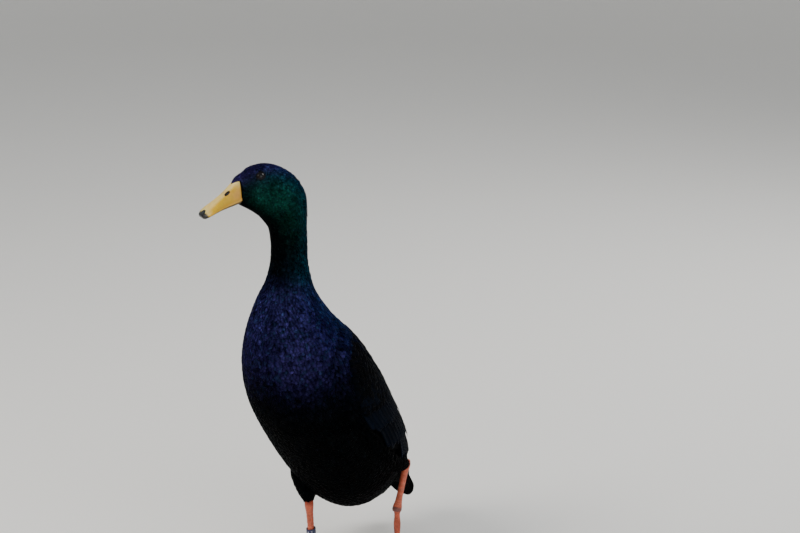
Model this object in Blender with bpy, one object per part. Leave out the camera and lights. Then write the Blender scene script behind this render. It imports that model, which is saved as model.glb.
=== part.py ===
"""Indian Runner duck: a life-size still model of a black drake in mid stride.

Lengths are in millimetres until a mesh is made, which is in metres. +Z is up, the body faces -Y and
+X is the duck's left. Torso, neck and head are one loft of rings, parted with thin gaps; each ring is
given by its dorsal point, its ventral point and its half width.
"""

import math
import random

import bpy
import bmesh
import numpy as np
from mathutils import Matrix, Vector

MM = 0.001
GAP = 0.32                      # clearance between pieces that touch
RING_SIDES = 28                 # points round the body
SEED = 11

# --- body loft ------------------------------------------------------------------------------------
# Each ring: dorsal y and z, ventral y and z, half width, low, flat. "low" moves the widest point from
# the middle of the ring towards the belly, as a share of its depth; "flat" squares its sides.
TORSO_RINGS = (
    (-95.5, 343.0, -164.5, 333.0, 34.0, 0.00, 0.0),
    (-77.0, 318.0, -172.5, 301.0, 48.0, 0.00, 0.0),
    (-53.0, 289.5, -173.5, 270.0, 61.0, 0.00, 0.0),
    (-29.0, 260.0, -169.5, 241.0, 68.0, 0.02, 0.0),
    (-5.0, 231.0, -160.5, 213.0, 70.7, 0.04, 0.0),
    (15.0, 203.0, -146.5, 188.0, 71.0, 0.06, 0.0),
    (34.0, 175.0, -128.0, 161.0, 70.0, 0.08, 0.0),
    (50.5, 151.0, -108.0, 133.0, 66.5, 0.10, 0.0),
    (63.5, 133.0, -84.0, 102.5, 59.0, 0.12, 0.0),
    (73.0, 123.0, -58.0, 76.5, 50.0, 0.12, 0.0),
    (79.5, 117.0, -22.0, 57.5, 37.0, 0.08, 0.0),
    (83.5, 112.0, 16.0, 55.5, 29.0, 0.04, 0.0),
    (86.5, 107.0, 42.0, 67.5, 24.5, 0.00, 0.0),
    (88.0, 101.5, 54.0, 81.0, 21.0, 0.00, 0.0),
)
NECK_AXIS_Y = -123.7            # the neck stands over this point of the mid plane
NECK_RINGS = (
    (-95.5, 343.0, -164.5, 333.0, 34.0, 0.00, 0.0),
    (-101.0, 361.0, -153.0, 353.5, 25.5, 0.00, 0.0),
    (-103.5, 379.0, -146.0, 373.0, 21.2, 0.00, 0.0),
    (-104.0, 396.0, -144.0, 390.0, 19.9, 0.00, 0.0),
    (-104.0, 414.0, -144.5, 404.0, 19.8, 0.00, 0.0),
)
HEAD_RINGS = (
    (-104.0, 414.0, -144.5, 404.0, 19.8, 0.00, 0.0),
    (-103.5, 436.0, -147.0, 417.0, 19.6, 0.00, 0.0),
    (-105.0, 454.0, -152.5, 425.5, 19.2, 0.00, 0.05),
    (-113.5, 469.5, -158.5, 432.5, 19.0, 0.05, 0.10),
    (-125.5, 480.5, -164.5, 437.5, 19.0, 0.10, 0.15),
    (-140.0, 488.5, -170.5, 441.5, 18.8, 0.14, 0.20),
    (-156.0, 491.0, -175.5, 444.5, 18.2, 0.14, 0.22),
    (-170.0, 487.5, -180.0, 447.0, 16.6, 0.10, 0.20),
    (-180.5, 481.5, -183.0, 449.0, 13.4, 0.06, 0.15),
    (-185.0, 478.0, -184.5, 451.5, 10.6, 0.00, 0.10),
)
HEAD_TURN = math.radians(-26.0)  # the head looks to the duck's right of the way the body faces
TURN_FROM_Z = 340.0
TURN_TO_Z = 415.0

# --- wings, in ring numbers along the torso and degrees round it from the middle of the back ---
WING_THICK = 5.5
WING_EDGE = 0.8
WING_INNER = 1.30               # the wing's inner face over the torso's smooth surface
WING_FRONT = ((1.55, 62.0), (2.2, 92.0), (3.4, 101.0), (5.0, 100.0), (6.6, 90.0), (8.2, 71.0),
              (9.8, 49.0), (11.3, 37.0), (12.6, 29.0))
WING_BACK = ((1.55, 48.0), (2.2, 36.0), (3.4, 22.0), (5.0, 11.0), (6.6, 7.0), (8.2, 6.0),
             (9.8, 9.0), (11.3, 13.0), (12.6, 18.0))

# --- tail ----------------------------------------------------------------------------------------
TAIL_LENGTH = 70.0
TAIL_SLOPE = (54.0, 70.0)       # degrees below level at the root and at the tip
TAIL_HALF_WIDTH = (20.5, 20.0, 17.0, 7.0)
TAIL_HALF_DEPTH = (19.0, 10.0, 5.0, 1.2)

# --- legs: hock, ankle and the way the toes point -------------------------------------------------
RIGHT_HOCK = (-24.0, -61.2, 67.3)
RIGHT_ANKLE = (-24.0, -55.7, 9.5)
RIGHT_TOE_HEADING = math.radians(11.0)       # turned in, towards +X
LEFT_HOCK = (47.5, 36.6, 101.0)
LEFT_ANKLE = (46.5, 19.0, 51.5)
LEFT_TOE_HEADING = math.radians(34.0)       # turned out, towards +X
TARSUS_HALF_WIDTH = 3.9
TARSUS_HALF_DEPTH = 5.0
HOCK_RADIUS = 6.6
ANKLE_RADIUS = 6.0
TOE_LENGTHS = {"inner": 46.0, "middle": 60.0, "outer": 56.0}
CLAW_LENGTH = 8.0
TOE_RADIUS = 3.3
WEB_THICK = 1.3
TOE_PRESS = 0.45                # how far the toes' round undersides are cut flat by the floor
TOE_STEPS = 7
TIP_ON_FLOOR = 9.0              # length of the left toes that lies on the floor
TIP_BEND = 0.8                  # share of the left toes that hangs from the ankle

# --- leg ring ---------------------------------------------------------------------------------------
RING_ALONG = 0.60               # share of the way from hock to ankle
RING_HEIGHT = 7.0
RING_WALL = 1.2
RING_CLEAR = 0.5

# --- bill -------------------------------------------------------------------------------------------
BILL_PITCH = math.radians(22.0)
BILL_LENGTH = 50.0
BILL_ROOT = (-184.0, 465.0)     # y, z of the middle of the bill's base before the head is turned

# --- eyes -------------------------------------------------------------------------------------------
EYE_Y = -164.0
EYE_Z = 480.8
EYE_RADIUS = 5.6
EYE_SINK = 3.0                  # the ball's middle lies this far under the head's surface


def smoothstep(value):
    """0 to 1 with level ends."""
    value = min(max(value, 0.0), 1.0)
    return value * value * (3.0 - 2.0 * value)


def spline(rows, t):
    """A smooth row of numbers through the given rows; t counts rows from 0."""
    last = len(rows) - 1
    t = min(max(t, 0.0), last)
    i = min(int(t), last - 1)
    f = t - i
    p1 = np.array(rows[i], float)
    p2 = np.array(rows[i + 1], float)
    p0 = np.array(rows[i - 1], float) if i > 0 else 2 * p1 - p2
    p3 = np.array(rows[i + 2], float) if i + 2 <= last else 2 * p2 - p1
    return 0.5 * (2 * p1 + (p2 - p0) * f + (2 * p0 - 5 * p1 + 4 * p2 - p3) * f * f
                  + (3 * p1 - p0 - 3 * p2 + p3) * f ** 3)


def interp(pairs, x):
    """Reads a curve given as (x, y) pairs, smoothly."""
    xs = [p[0] for p in pairs]
    x = min(max(x, xs[0]), xs[-1])
    i = max(j for j in range(len(xs) - 1) if xs[j] <= x) if x > xs[0] else 0
    t = i + (x - xs[i]) / (xs[i + 1] - xs[i])
    return float(spline([(p[1],) for p in pairs], t)[0])


def ring_point(row, angle):
    """The point of a ring at an angle from its dorsal point, turning towards +X."""
    dy, dz, vy, vz, half, low, flat = row
    c = math.cos(angle)
    s = math.sin(angle)
    y = (dy + vy) / 2 + (dy - vy) / 2 * c
    z = (dz + vz) / 2 + (dz - vz) / 2 * c
    y += low * s * s * (vy - dy) / 2
    z += low * s * s * (vz - dz) / 2
    x = half * math.copysign(abs(s) ** (1.0 - flat), s)
    return Vector((x, y, z))


def turn_head(p):
    """Turns what is above the neck's foot about the neck, more and more up to the head."""
    share = smoothstep((p.z - TURN_FROM_Z) / (TURN_TO_Z - TURN_FROM_Z))
    turn = Matrix.Rotation(HEAD_TURN * share, 3, "Z")
    axis = Vector((0, NECK_AXIS_Y, 0))
    return turn @ (p - axis) + axis


def surface(rows, t, angle, height=0.0):
    """A point over the loft through rows, height above its surface along the normal."""
    p = ring_point(spline(rows, t), angle)
    if height:
        d = 0.02
        along = ring_point(spline(rows, t + d), angle) - ring_point(spline(rows, t - d), angle)
        row = spline(rows, t)
        around = ring_point(row, angle + d) - ring_point(row, angle - d)
        normal = around.cross(along).normalized()
        middle = (ring_point(row, 0.0) + ring_point(row, math.pi)) / 2
        if normal.dot(p - middle) < 0:
            normal = -normal
        p = p + normal * height
    return p


def torso_skin(t, degrees, height=0.0):
    return surface(TORSO_RINGS, t, math.radians(degrees), height)


def head_skin(t, degrees, height=0.0):
    return surface(HEAD_RINGS, t, math.radians(degrees), height)


def make_object(name, points, faces, material=None):
    """A mesh object from points in millimetres, with its faces turned outwards."""
    mesh = bpy.data.meshes.new(name)
    mesh.from_pydata([tuple(c * MM for c in p) for p in points], [], faces)
    bm = bmesh.new()
    bm.from_mesh(mesh)
    bmesh.ops.remove_doubles(bm, verts=bm.verts, dist=1e-6)
    bmesh.ops.recalc_face_normals(bm, faces=bm.faces)
    if bm.calc_volume(signed=True) < 0:
        bmesh.ops.reverse_faces(bm, faces=bm.faces)
    bm.to_mesh(mesh)
    bm.free()
    obj = bpy.data.objects.new(name, mesh)
    bpy.context.scene.collection.objects.link(obj)
    if material:
        mesh.materials.append(material)
    return obj


def loft(name, rings, material=None):
    """A closed body through rings of points, with a flat fan over each end."""
    points = [p for ring in rings for p in ring]
    n = len(rings[0])
    faces = []
    for i in range(len(rings) - 1):
        for j in range(n):
            k = (j + 1) % n
            faces.append((i * n + j, i * n + k, (i + 1) * n + k, (i + 1) * n + j))
    for first, flip in ((0, True), ((len(rings) - 1) * n, False)):
        middle = len(points)
        points.append(sum((points[first + j] for j in range(n)), Vector()) / n)
        for j in range(n):
            k = (j + 1) % n
            faces.append((first + k, first + j, middle) if flip else (first + j, first + k, middle))
    return make_object(name, points, faces, material)


def shell(name, outer, inner, material=None):
    """A closed plate between two grids of points that match."""
    rows = len(outer)
    cols = len(outer[0])
    points = [p for row in outer for p in row] + [p for row in inner for p in row]
    low = rows * cols
    faces = []
    for i in range(rows - 1):
        for j in range(cols - 1):
            a = i * cols + j
            quad = (a, a + 1, a + cols + 1, a + cols)
            for tri in ((quad[0], quad[1], quad[2]), (quad[0], quad[2], quad[3])):
                faces.append(tri)
                faces.append(tuple(low + v for v in reversed(tri)))
    rim = [j for j in range(cols)]
    rim += [i * cols + cols - 1 for i in range(1, rows)]
    rim += [(rows - 1) * cols + j for j in range(cols - 2, -1, -1)]
    rim += [i * cols for i in range(rows - 2, 0, -1)]
    for a, b in zip(rim, rim[1:] + rim[:1]):
        faces.append((b, a, low + a, low + b))
    return make_object(name, points, faces, material)


def boolean(target, tools, operation, solver="EXACT"):
    """Joins or cuts with a list of closed objects, applies it and removes them."""
    group = bpy.data.collections.new("tools")
    bpy.context.scene.collection.children.link(group)
    for tool in tools:
        group.objects.link(tool)
    cut = target.modifiers.new("boolean", "BOOLEAN")
    cut.operation = operation
    cut.solver = solver
    cut.operand_type = "COLLECTION"
    cut.collection = group
    depsgraph = bpy.context.evaluated_depsgraph_get()
    mesh = bpy.data.meshes.new_from_object(target.evaluated_get(depsgraph))
    target.modifiers.clear()
    target.data = mesh
    for tool in tools:
        bpy.data.objects.remove(tool)
    bpy.data.collections.remove(group)
    keep_largest(target)


def keep_largest(obj):
    """Leaves only the largest closed surface of an object."""
    bm = bmesh.new()
    bm.from_mesh(obj.data)
    left = set(bm.verts)
    shells = []
    while left:
        stack = [left.pop()]
        part = set(stack)
        while stack:
            for edge in stack.pop().link_edges:
                for vert in edge.verts:
                    if vert in left:
                        left.remove(vert)
                        part.add(vert)
                        stack.append(vert)
        shells.append(part)

    def extent(part):
        xs = [v.co for v in part]
        return sum(max(c[i] for c in xs) - min(c[i] for c in xs) for i in range(3))

    shells.sort(key=extent, reverse=True)
    loose = [v for part in shells[1:] for v in part]
    bmesh.ops.delete(bm, geom=loose, context="VERTS")
    bm.to_mesh(obj.data)
    bm.free()


def material(name, colour, roughness, metallic=0.0):
    """A plain Principled material; colour is linear."""
    mat = bpy.data.materials.new(name)
    mat.use_nodes = True
    shader = mat.node_tree.nodes["Principled BSDF"]
    shader.inputs["Base Color"].default_value = (*colour, 1.0)
    shader.inputs["Roughness"].default_value = roughness
    shader.inputs["Metallic"].default_value = metallic
    mat.diffuse_color = (*colour, 1.0)
    return mat


# --- flesh ------------------------------------------------------------------------------------------

def body_rings(rows, per_span, start=0.0, end=None, grow=0.0, turned=False):
    """Rings of points along a loft from station start to station end."""
    end = len(rows) - 1 if end is None else end
    count = max(2, round((end - start) * per_span) + 1)
    rings = []
    for i in range(count):
        t = start + (end - start) * i / (count - 1)
        ring = [surface(rows, t, 2 * math.pi * j / RING_SIDES, grow) for j in range(RING_SIDES)]
        rings.append([turn_head(p) for p in ring] if turned else ring)
    return rings


def trim_ring(ring, toward, gap):
    """Moves an end ring along its loft so that a neighbour's end keeps a gap to it."""
    middle = sum(ring, Vector()) / len(ring)
    other = sum(toward, Vector()) / len(toward)
    share = 1.3 * gap / (other - middle).length
    return [p.lerp(q, share) for p, q in zip(ring, toward)]


def make_torso(mat, grow=0.0, name="torso"):
    return loft(name, body_rings(TORSO_RINGS, 2, grow=grow), mat)


def make_neck(mat):
    rings = body_rings(NECK_RINGS, 3, turned=True)
    rings[0] = trim_ring(rings[0], rings[1], GAP)
    return loft("neck", rings, mat)


def bill_space(p):
    """From the bill's own axes (left, forward, up from its root) to the model, head turned."""
    c = math.cos(BILL_PITCH)
    s = math.sin(BILL_PITCH)
    y = BILL_ROOT[0] - c * p[1] - s * p[2]
    z = BILL_ROOT[1] - s * p[1] + c * p[2]
    return turn_head(Vector((p[0], y, z)))


def forehead_wedge(name, grow=0.0):
    """The point of feathers that runs down the middle of the bill's root."""
    rings = []
    for forward, half, top, deep in ((-10.0, 9.0, 15.0, 12.0), (-3.0, 5.4, 14.2, 6.0), (1.5, 3.0, 12.3, 3.6),
                                     (5.0, 0.8, 10.3, 1.4)):
        ring = []
        for j in range(12):
            a = 2 * math.pi * j / 12
            x = (half + grow) * math.sin(a)
            z = top - deep / 2 + (deep / 2 + grow) * math.cos(a)
            ring.append(bill_space((x, forward + (grow if forward > 4 else 0), z)))
        rings.append(ring)
    return loft(name, rings)


def eye_place(side):
    """Middle of an eyeball and the way it looks."""
    best = None
    for t in np.linspace(5.0, 8.0, 61):
        for degrees in np.linspace(20.0, 90.0, 71):
            p = head_skin(t, degrees)
            off = (p.y - EYE_Y) ** 2 + (p.z - EYE_Z) ** 2
            if best is None or off < best[0]:
                best = (off, t, degrees)
    p = head_skin(best[1], best[2])
    out = head_skin(best[1], best[2], 1.0) - p
    middle = p - out * EYE_SINK
    middle.x *= side
    out.x *= side
    return middle, out


def ball(name, middle, radius, mat=None, segments=14):
    """A round ball whose middle has already been turned with the head."""
    mesh = bpy.data.meshes.new(name)
    bm = bmesh.new()
    bmesh.ops.create_uvsphere(bm, u_segments=segments, v_segments=segments // 2 + 2, radius=radius * MM)
    bmesh.ops.translate(bm, verts=bm.verts, vec=middle * MM)
    bm.to_mesh(mesh)
    bm.free()
    obj = bpy.data.objects.new(name, mesh)
    bpy.context.scene.collection.objects.link(obj)
    if mat:
        mesh.materials.append(mat)
    return obj


def lids(side):
    """The raised rim of the lids, an almond round the eye."""
    middle, out = eye_place(side)
    front = Vector((0, -math.cos(BILL_PITCH * 0.6), -math.sin(BILL_PITCH * 0.6)))
    front = (front - out * front.dot(out)).normalized()
    up = out.cross(front).normalized() * (1 if side > 0 else -1)
    if up.z < 0:
        up = -up
    rings = []
    steps = 20
    for i in range(steps):
        a = 2 * math.pi * i / steps
        long = math.cos(a)
        tall = math.sin(a)
        spot = front * (4.9 * long) + up * (3.6 * tall * (1 - 0.25 * long * long))
        lift = math.sqrt(max(0.0, (EYE_RADIUS + 0.4) ** 2 - spot.length_squared))
        core = middle + spot + out * (lift - 0.25)
        away = spot.normalized()
        ring = []
        for j in range(6):
            b = 2 * math.pi * j / 6
            ring.append(turn_head(core + away * (0.95 * math.cos(b)) + out * (0.95 * math.sin(b))))
        rings.append(ring)
    n = 6
    points = [p for ring in rings for p in ring]
    faces = []
    for i in range(steps):
        for j in range(n):
            a = i * n
            b = ((i + 1) % steps) * n
            faces.append((a + j, a + (j + 1) % n, b + (j + 1) % n, b + j))
    return make_object("lids", points, faces)


def make_head(mat):
    rings = body_rings(HEAD_RINGS, 2, turned=True)
    rings[0] = trim_ring(rings[0], rings[1], GAP)
    head = loft("head", rings, mat)
    boolean(head, [forehead_wedge("wedge"), lids(1), lids(-1)], "UNION")
    sockets = []
    for side in (1, -1):
        middle, out = eye_place(side)
        sockets.append(ball("socket", turn_head(middle), EYE_RADIUS + GAP))
    boolean(head, sockets, "DIFFERENCE")
    return head


def make_eyes(mat):
    for side, name in ((1, "eye_left"), (-1, "eye_right")):
        middle, out = eye_place(side)
        ball(name, turn_head(middle), EYE_RADIUS, mat)


# --- bill -------------------------------------------------------------------------------------------
# (forward, half width, height of the culmen, height of the edge)
UPPER_BILL = (
    (-9.0, 9.4, 13.5, -9.5),
    (2.0, 9.3, 11.0, -9.3),
    (12.0, 9.0, 7.2, -8.6),
    (21.0, 9.4, 4.4, -7.4),
    (30.0, 11.0, 2.0, -6.3),
    (38.5, 12.9, -0.2, -5.8),
    (44.5, 12.6, -2.0, -6.0),
    (48.3, 9.4, -3.4, -6.6),
    (50.0, 4.8, -4.6, -7.0),
)
MOUTH_GAP = 0.45


def upper_section(row, sides=9):
    """An arch from edge to edge with a slightly hollow underside."""
    forward, half, top, edge = row
    ring = []
    for j in range(sides):
        a = math.pi * j / (sides - 1)
        c = math.cos(a)
        s = math.sin(a)
        x = half * math.copysign(abs(c) ** 0.72, c)
        ring.append((x, forward, edge + (top - edge) * s ** 0.9))
    ring.append((-half * 0.6, forward, edge + 0.35))
    ring.append((0.0, forward, edge + 0.5))
    ring.append((half * 0.6, forward, edge + 0.35))
    return ring


def lower_section(row, sides=7):
    """The lower mandible: a shallow keel that fills the underside of the upper one."""
    forward, half, top, edge = row
    deep = 3.0 * (1 - forward / 60.0) ** 0.6 + 0.9
    half = half * 0.88 - 0.2
    ring = []
    for j in range(sides):
        a = math.pi * j / (sides - 1)
        ring.append((half * math.cos(a), forward, edge - MOUTH_GAP - deep * math.sin(a) ** 0.8))
    ring.append((-half * 0.5, forward, edge - MOUTH_GAP + 0.3))
    ring.append((half * 0.5, forward, edge - MOUTH_GAP + 0.3))
    return ring


def head_cutter(name):
    """The head's front grown by the gap, to part the bill from it."""
    rings = body_rings(HEAD_RINGS, 2, start=3.0, grow=GAP, turned=True)
    last = rings[-1]
    inner = sum(last, Vector()) / len(last)
    before = sum(rings[-2], Vector()) / len(last)
    forward = (inner - before).normalized() * GAP
    rings.append([p + forward for p in last])
    return loft(name, rings)


def bill_loft(name, rows, section, start, end, mat=None, steps=1):
    rings = []
    count = max(2, round((end - start) * steps) + 1)
    for i in range(count):
        row = spline(rows, start + (end - start) * i / (count - 1))
        rings.append([bill_space(p) for p in section(row)])
    return loft(name, rings, mat)


def nostril(name, side):
    """An oval pit through the side of the culmen."""
    middle = bill_space((side * 5.0, 14.5, 4.4))
    mesh = bpy.data.meshes.new(name)
    bm = bmesh.new()
    bmesh.ops.create_uvsphere(bm, u_segments=12, v_segments=8, radius=1.0)
    stretch = Matrix.Diagonal((1.6 * MM, 3.4 * MM, 1.7 * MM, 1.0))
    turn = Matrix.Rotation(HEAD_TURN, 4, "Z") @ Matrix.Rotation(BILL_PITCH * 1.5, 4, "X")
    bmesh.ops.transform(bm, matrix=Matrix.Translation(middle * MM) @ turn @ stretch, verts=bm.verts)
    bm.to_mesh(mesh)
    bm.free()
    obj = bpy.data.objects.new(name, mesh)
    bpy.context.scene.collection.objects.link(obj)
    return obj


NAIL_FROM = 42.8
NAIL_HALF = 4.4


def nail_block(name, grow):
    """The outline of the nail at the bill's tip, as a block through it."""
    outline = []
    for j in range(13):
        a = math.pi * j / 12
        outline.append((math.cos(a) * (NAIL_HALF + grow), NAIL_FROM + 4.0 - math.sin(a) * (4.0 + grow)))
    outline += [(-(NAIL_HALF + 0.6 + grow), 53.0 + grow), (NAIL_HALF + 0.6 + grow, 53.0 + grow)]
    rings = []
    for height in (-14.0, 4.0):
        rings.append([bill_space((x, y, height)) for x, y in outline])
    return loft(name, rings)


def make_bill(horn, dark, nail_mat):
    upper = bill_loft("bill_upper", UPPER_BILL, upper_section, 0.0, 8.0, horn, 2)
    nail = bill_loft("bill_nail", UPPER_BILL, upper_section, 4.5, 8.0, nail_mat, 2)
    boolean(nail, [nail_block("nail_block", 0.0)], "INTERSECT", "MANIFOLD")
    cutters = [head_cutter("head_cut"), forehead_wedge("wedge_cut", GAP)]
    cutters.append(nail_block("nail_hole", GAP))
    cutters += [nostril("nostril", 1), nostril("nostril", -1)]
    boolean(upper, cutters, "DIFFERENCE", "MANIFOLD")
    lower = bill_loft("bill_lower", UPPER_BILL, lower_section, 0.0, 7.3, dark, 2)
    boolean(lower, [head_cutter("head_cut")], "DIFFERENCE", "MANIFOLD")
    return upper, lower, nail


# --- feathers ---------------------------------------------------------------------------------------
def feather_stations(root, knots, tip, rounding):
    """(along, share of the half width) of a feather; one tier shares its knots, so its feathers match."""
    stations = [(root, 0.5)]
    stations += [(knot, 0.95 if knot == knots[0] else 1.0) for knot in knots if knot < tip - 1.6 * rounding]
    return stations + [(tip - rounding, 0.80), (tip, 0.22)]


def vane(place, stations, offset, half, lift, slope):
    """One feather: a thin closed vane along a surface, its section a flat hexagon.

    place(along, across, height) is a point over the surface, across in millimetres. lift(along) is
    the height of the shaft, and slope raises one edge so that neighbours overlap without touching.
    """
    d = 0.002
    rings = []
    for along, wide in stations:
        middle = offset(along)
        ahead = (place(along + d, offset(along + d), 0.0) - place(along - d, offset(along - d), 0.0)) / (2 * d)
        beside = place(along, middle + 0.5, 0.0) - place(along, middle - 0.5, 0.0)
        lean = beside.dot(ahead.normalized())
        square = math.sqrt(max(beside.length_squared - lean * lean, 0.05))
        thick = 0.7 if along == stations[-1][0] else 1.0
        upper = []
        lower = []
        for edge, deep in ((-1, 0.26), (0, 0.42), (1, 0.26)):
            reach = edge * half * wide
            step = reach / square
            spot = (along - lean * step / ahead.length, middle + step)
            height = lift(spot[0]) + slope * reach
            upper.append(place(spot[0], spot[1], height + deep * thick))
            lower.append(place(spot[0], spot[1], height - deep * thick))
        rings.append(upper + lower[::-1])
    points = [p for ring in rings for p in ring]
    faces = []
    for i in range(len(rings) - 1):
        a = 6 * i
        b = a + 6
        for j in (0, 1):
            faces += [(a + j, a + j + 1, b + j + 1), (a + j, b + j + 1, b + j)]
            faces += [(a + 4 - j, b + 4 - j, a + 5 - j), (a + 5 - j, b + 4 - j, b + 5 - j)]
        for j, k in ((2, 3), (5, 0)):
            faces += [(a + j, a + k, b + k), (a + j, b + k, b + j)]
    end = 6 * (len(rings) - 1)
    for first in (0, end):
        faces += [(first, first + 1, first + 4), (first, first + 4, first + 5)]
        faces += [(first + 1, first + 2, first + 3), (first + 1, first + 3, first + 4)]
    return make_object("vane", points, faces)


# --- wings ------------------------------------------------------------------------------------------

def wing_point(side, along, across, height):
    """A point of the folded wing: along 0 at the shoulder to 1 at the tip, across 0 at the back."""
    t = WING_FRONT[0][0] + (WING_FRONT[-1][0] - WING_FRONT[0][0]) * along
    front = interp(WING_FRONT, t)
    back = interp(WING_BACK, t)
    p = torso_skin(t, back + (front - back) * across, height)
    p.x *= side
    return p


def wing_envelope(name, side, margin=0.0, mat=None):
    """The outer shape of a folded wing as one plate, grown all round by a margin."""
    outer = []
    inner = []
    rows = 22
    cols = 10
    for i in range(rows):
        along = i / (rows - 1)
        outer_row = []
        inner_row = []
        for j in range(cols):
            across = j / (cols - 1)
            dome = max(0.0, math.sin(math.pi * across)) ** 0.5 * (1 - along) ** 0.35
            dome *= smoothstep(along / 0.12)
            height = WING_INNER + WING_EDGE + WING_THICK * dome + margin
            wider = across + (across - 0.5) * margin * 0.08
            outer_row.append(wing_point(side, along, wider, height))
            inner_row.append(wing_point(side, along, wider, WING_INNER - 3.0 * margin))
        outer.append(outer_row)
        inner.append(inner_row)
    return shell(name, outer, inner, mat)


# Outer height of the arm pad over the torso from the shoulder back. Each tier of feathers leaves it
# through a step, so that the next tier can rise over it.
PAD = ((0.0, 2.2), (0.05, 4.2), (0.10, 5.8), (0.168, 6.6), (0.172, 4.2), (0.25, 4.9), (0.33, 5.5), (0.334, 3.4), (0.40, 5.2))
PAD_ACROSS = ((0.02, 0.3), (0.08, 1.0), (0.20, 1.0), (0.33, 1.0), (0.46, 1.0), (0.59, 1.0), (0.72, 1.0),
              (0.84, 1.0), (0.93, 1.0), (0.98, 0.3))
VANE_HALF = 8.2
VANE_PITCH = 12.2               # between the shafts of one tier, round the body
VANE_SLOPE = 0.088
EDGE_OF_WING = 0.93             # share of the width where the last tips end
PRIMARY_HALF = 6.3
PRIMARY_PITCH = 8.0
PRIMARY_SLOPE = 0.12
PRIMARY_TIPS = (1.0, 0.965, 0.925, 0.88)
TIERS = (
    # root, knots, tip at the back, tip at the lower edge, first shaft, (along, height) of the shafts
    (0.355, (0.46, 0.59, 0.72), 0.90, 0.58, 6.5,
     ((0.35, 3.2), (0.40, 4.0), (0.46, 4.7), (0.60, 5.0), (0.90, 5.2))),
    (0.285, (0.40,), 0.53, 0.47, 7.5,
     ((0.28, 3.4), (0.33, 4.4), (0.40, 6.2), (0.46, 6.8), (0.60, 6.9))),
    (0.12, (0.25,), 0.36, 0.31, 6.5,
     ((0.12, 4.4), (0.17, 5.2), (0.25, 6.5), (0.36, 7.0), (0.45, 7.0))),
)
PAD_WIDTH = 107.0               # the pad stays under the lowest feathers


def wing_widths():
    """Width of the wing over the skin at steps along it."""
    widths = []
    for i in range(41):
        points = [wing_point(1, i / 40, j / 10, 0.0) for j in range(11)]
        widths.append((i / 40, sum((q - p).length for p, q in zip(points, points[1:]))))
    return widths


def make_wing(side, mat):
    """A folded wing: an arm pad, primaries, secondaries with tertials, greater and median coverts."""
    widths = wing_widths()

    def width(along):
        return interp(widths, along)

    def place(along, across, height):
        return wing_point(side, along, across / width(along), height)

    def squeeze(along):
        """Draws the shafts together where the wing narrows to the shoulder."""
        return min(1.0, width(along) / width(0.36)) if along < 0.36 else 1.0

    outer = []
    inner = []
    for along, high in PAD:
        outer_row = []
        inner_row = []
        for across, share in PAD_ACROSS:
            height = WING_INNER + 0.6 + (high - WING_INNER - 0.6) * share
            spread = across * min(1.0, PAD_WIDTH / width(along))
            outer_row.append(wing_point(side, along, spread, height))
            inner_row.append(wing_point(side, along, spread, WING_INNER))
        outer.append(outer_row)
        inner.append(inner_row)
    wing = shell("wing_left" if side > 0 else "wing_right", outer, inner, mat)
    vanes = []
    for i, tip in enumerate(PRIMARY_TIPS):

        def shaft(along, i=i):
            """Primaries lie side by side under the tertials and draw together at the tips."""
            pitch = PRIMARY_PITCH * (1 - 0.5 * smoothstep((along - 0.5) / 0.5))
            return 5.0 + pitch * i

        def lift(along, i=i):
            return 2.0 + (1.3 - 0.5 * i) * smoothstep((along - 0.40) / 0.2)

        vanes.append(vane(place, feather_stations(0.375, (0.59, 0.72, 0.83), tip, 0.04), shaft, PRIMARY_HALF, lift,
                          PRIMARY_SLOPE))
    for root, knots, back_tip, low_tip, first, heights in TIERS:
        offset = first
        while offset < EDGE_OF_WING * width(low_tip) + 2.0:
            tip = back_tip + (low_tip - back_tip) * offset / width(low_tip) * (back_tip < 0.8)
            while tip > low_tip and offset > EDGE_OF_WING * width(tip) - 3.0 * (tip > low_tip + 0.06):
                tip -= 0.004
            tip = max(tip, low_tip)
            vanes.append(vane(place, feather_stations(root, knots, tip, 0.034),
                              lambda along, x=offset: x * squeeze(along), VANE_HALF,
                              lambda along, h=heights: interp(h, along), VANE_SLOPE))
            offset += VANE_PITCH
    boolean(wing, vanes, "UNION", "MANIFOLD")
    boolean(wing, [make_torso(None, GAP, "torso_cut")], "DIFFERENCE", "MANIFOLD")
    return wing


# --- tail -------------------------------------------------------------------------------------------

def tail_frame(along):
    """Middle of the tail, its way out and its dorsal side, along 0 at the root to 1 at the tip."""
    row = TORSO_RINGS[-1]
    root = Vector((0, (row[0] + row[2]) / 2, (row[1] + row[3]) / 2))
    steps = 20
    p = root.copy()
    for i in range(steps):
        share = (i + 0.5) / steps * along
        slope = math.radians(TAIL_SLOPE[0] + (TAIL_SLOPE[1] - TAIL_SLOPE[0]) * share)
        p += Vector((0, math.cos(slope), -math.sin(slope))) * (TAIL_LENGTH * along / steps)
    slope = math.radians(TAIL_SLOPE[0] + (TAIL_SLOPE[1] - TAIL_SLOPE[0]) * along)
    out = Vector((0, math.cos(slope), -math.sin(slope)))
    up = Vector((0, math.sin(slope), math.cos(slope)))
    return p, out, up


# along, half width and half depth of the tail's covert surface
TAIL_ROUND = ((0.0, 19.3, 17.6), (0.2, 18.6, 12.6), (0.4, 16.6, 8.2), (0.6, 14.0, 5.2), (0.8, 11.0, 3.4), (1.0, 8.0, 2.0))
TAIL_CORE = ((0.12, 16.2, 13.2), (0.24, 14.2, 9.0), (0.36, 11.6, 5.6), (0.48, 9.0, 3.4))
TAIL_PAIRS = 4                  # pairs of tail feathers beside the middle pair


def tail_round(along):
    half = interp([(row[0], row[1]) for row in TAIL_ROUND], along)
    deep = interp([(row[0], row[2]) for row in TAIL_ROUND], along)
    return half, deep


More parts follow.
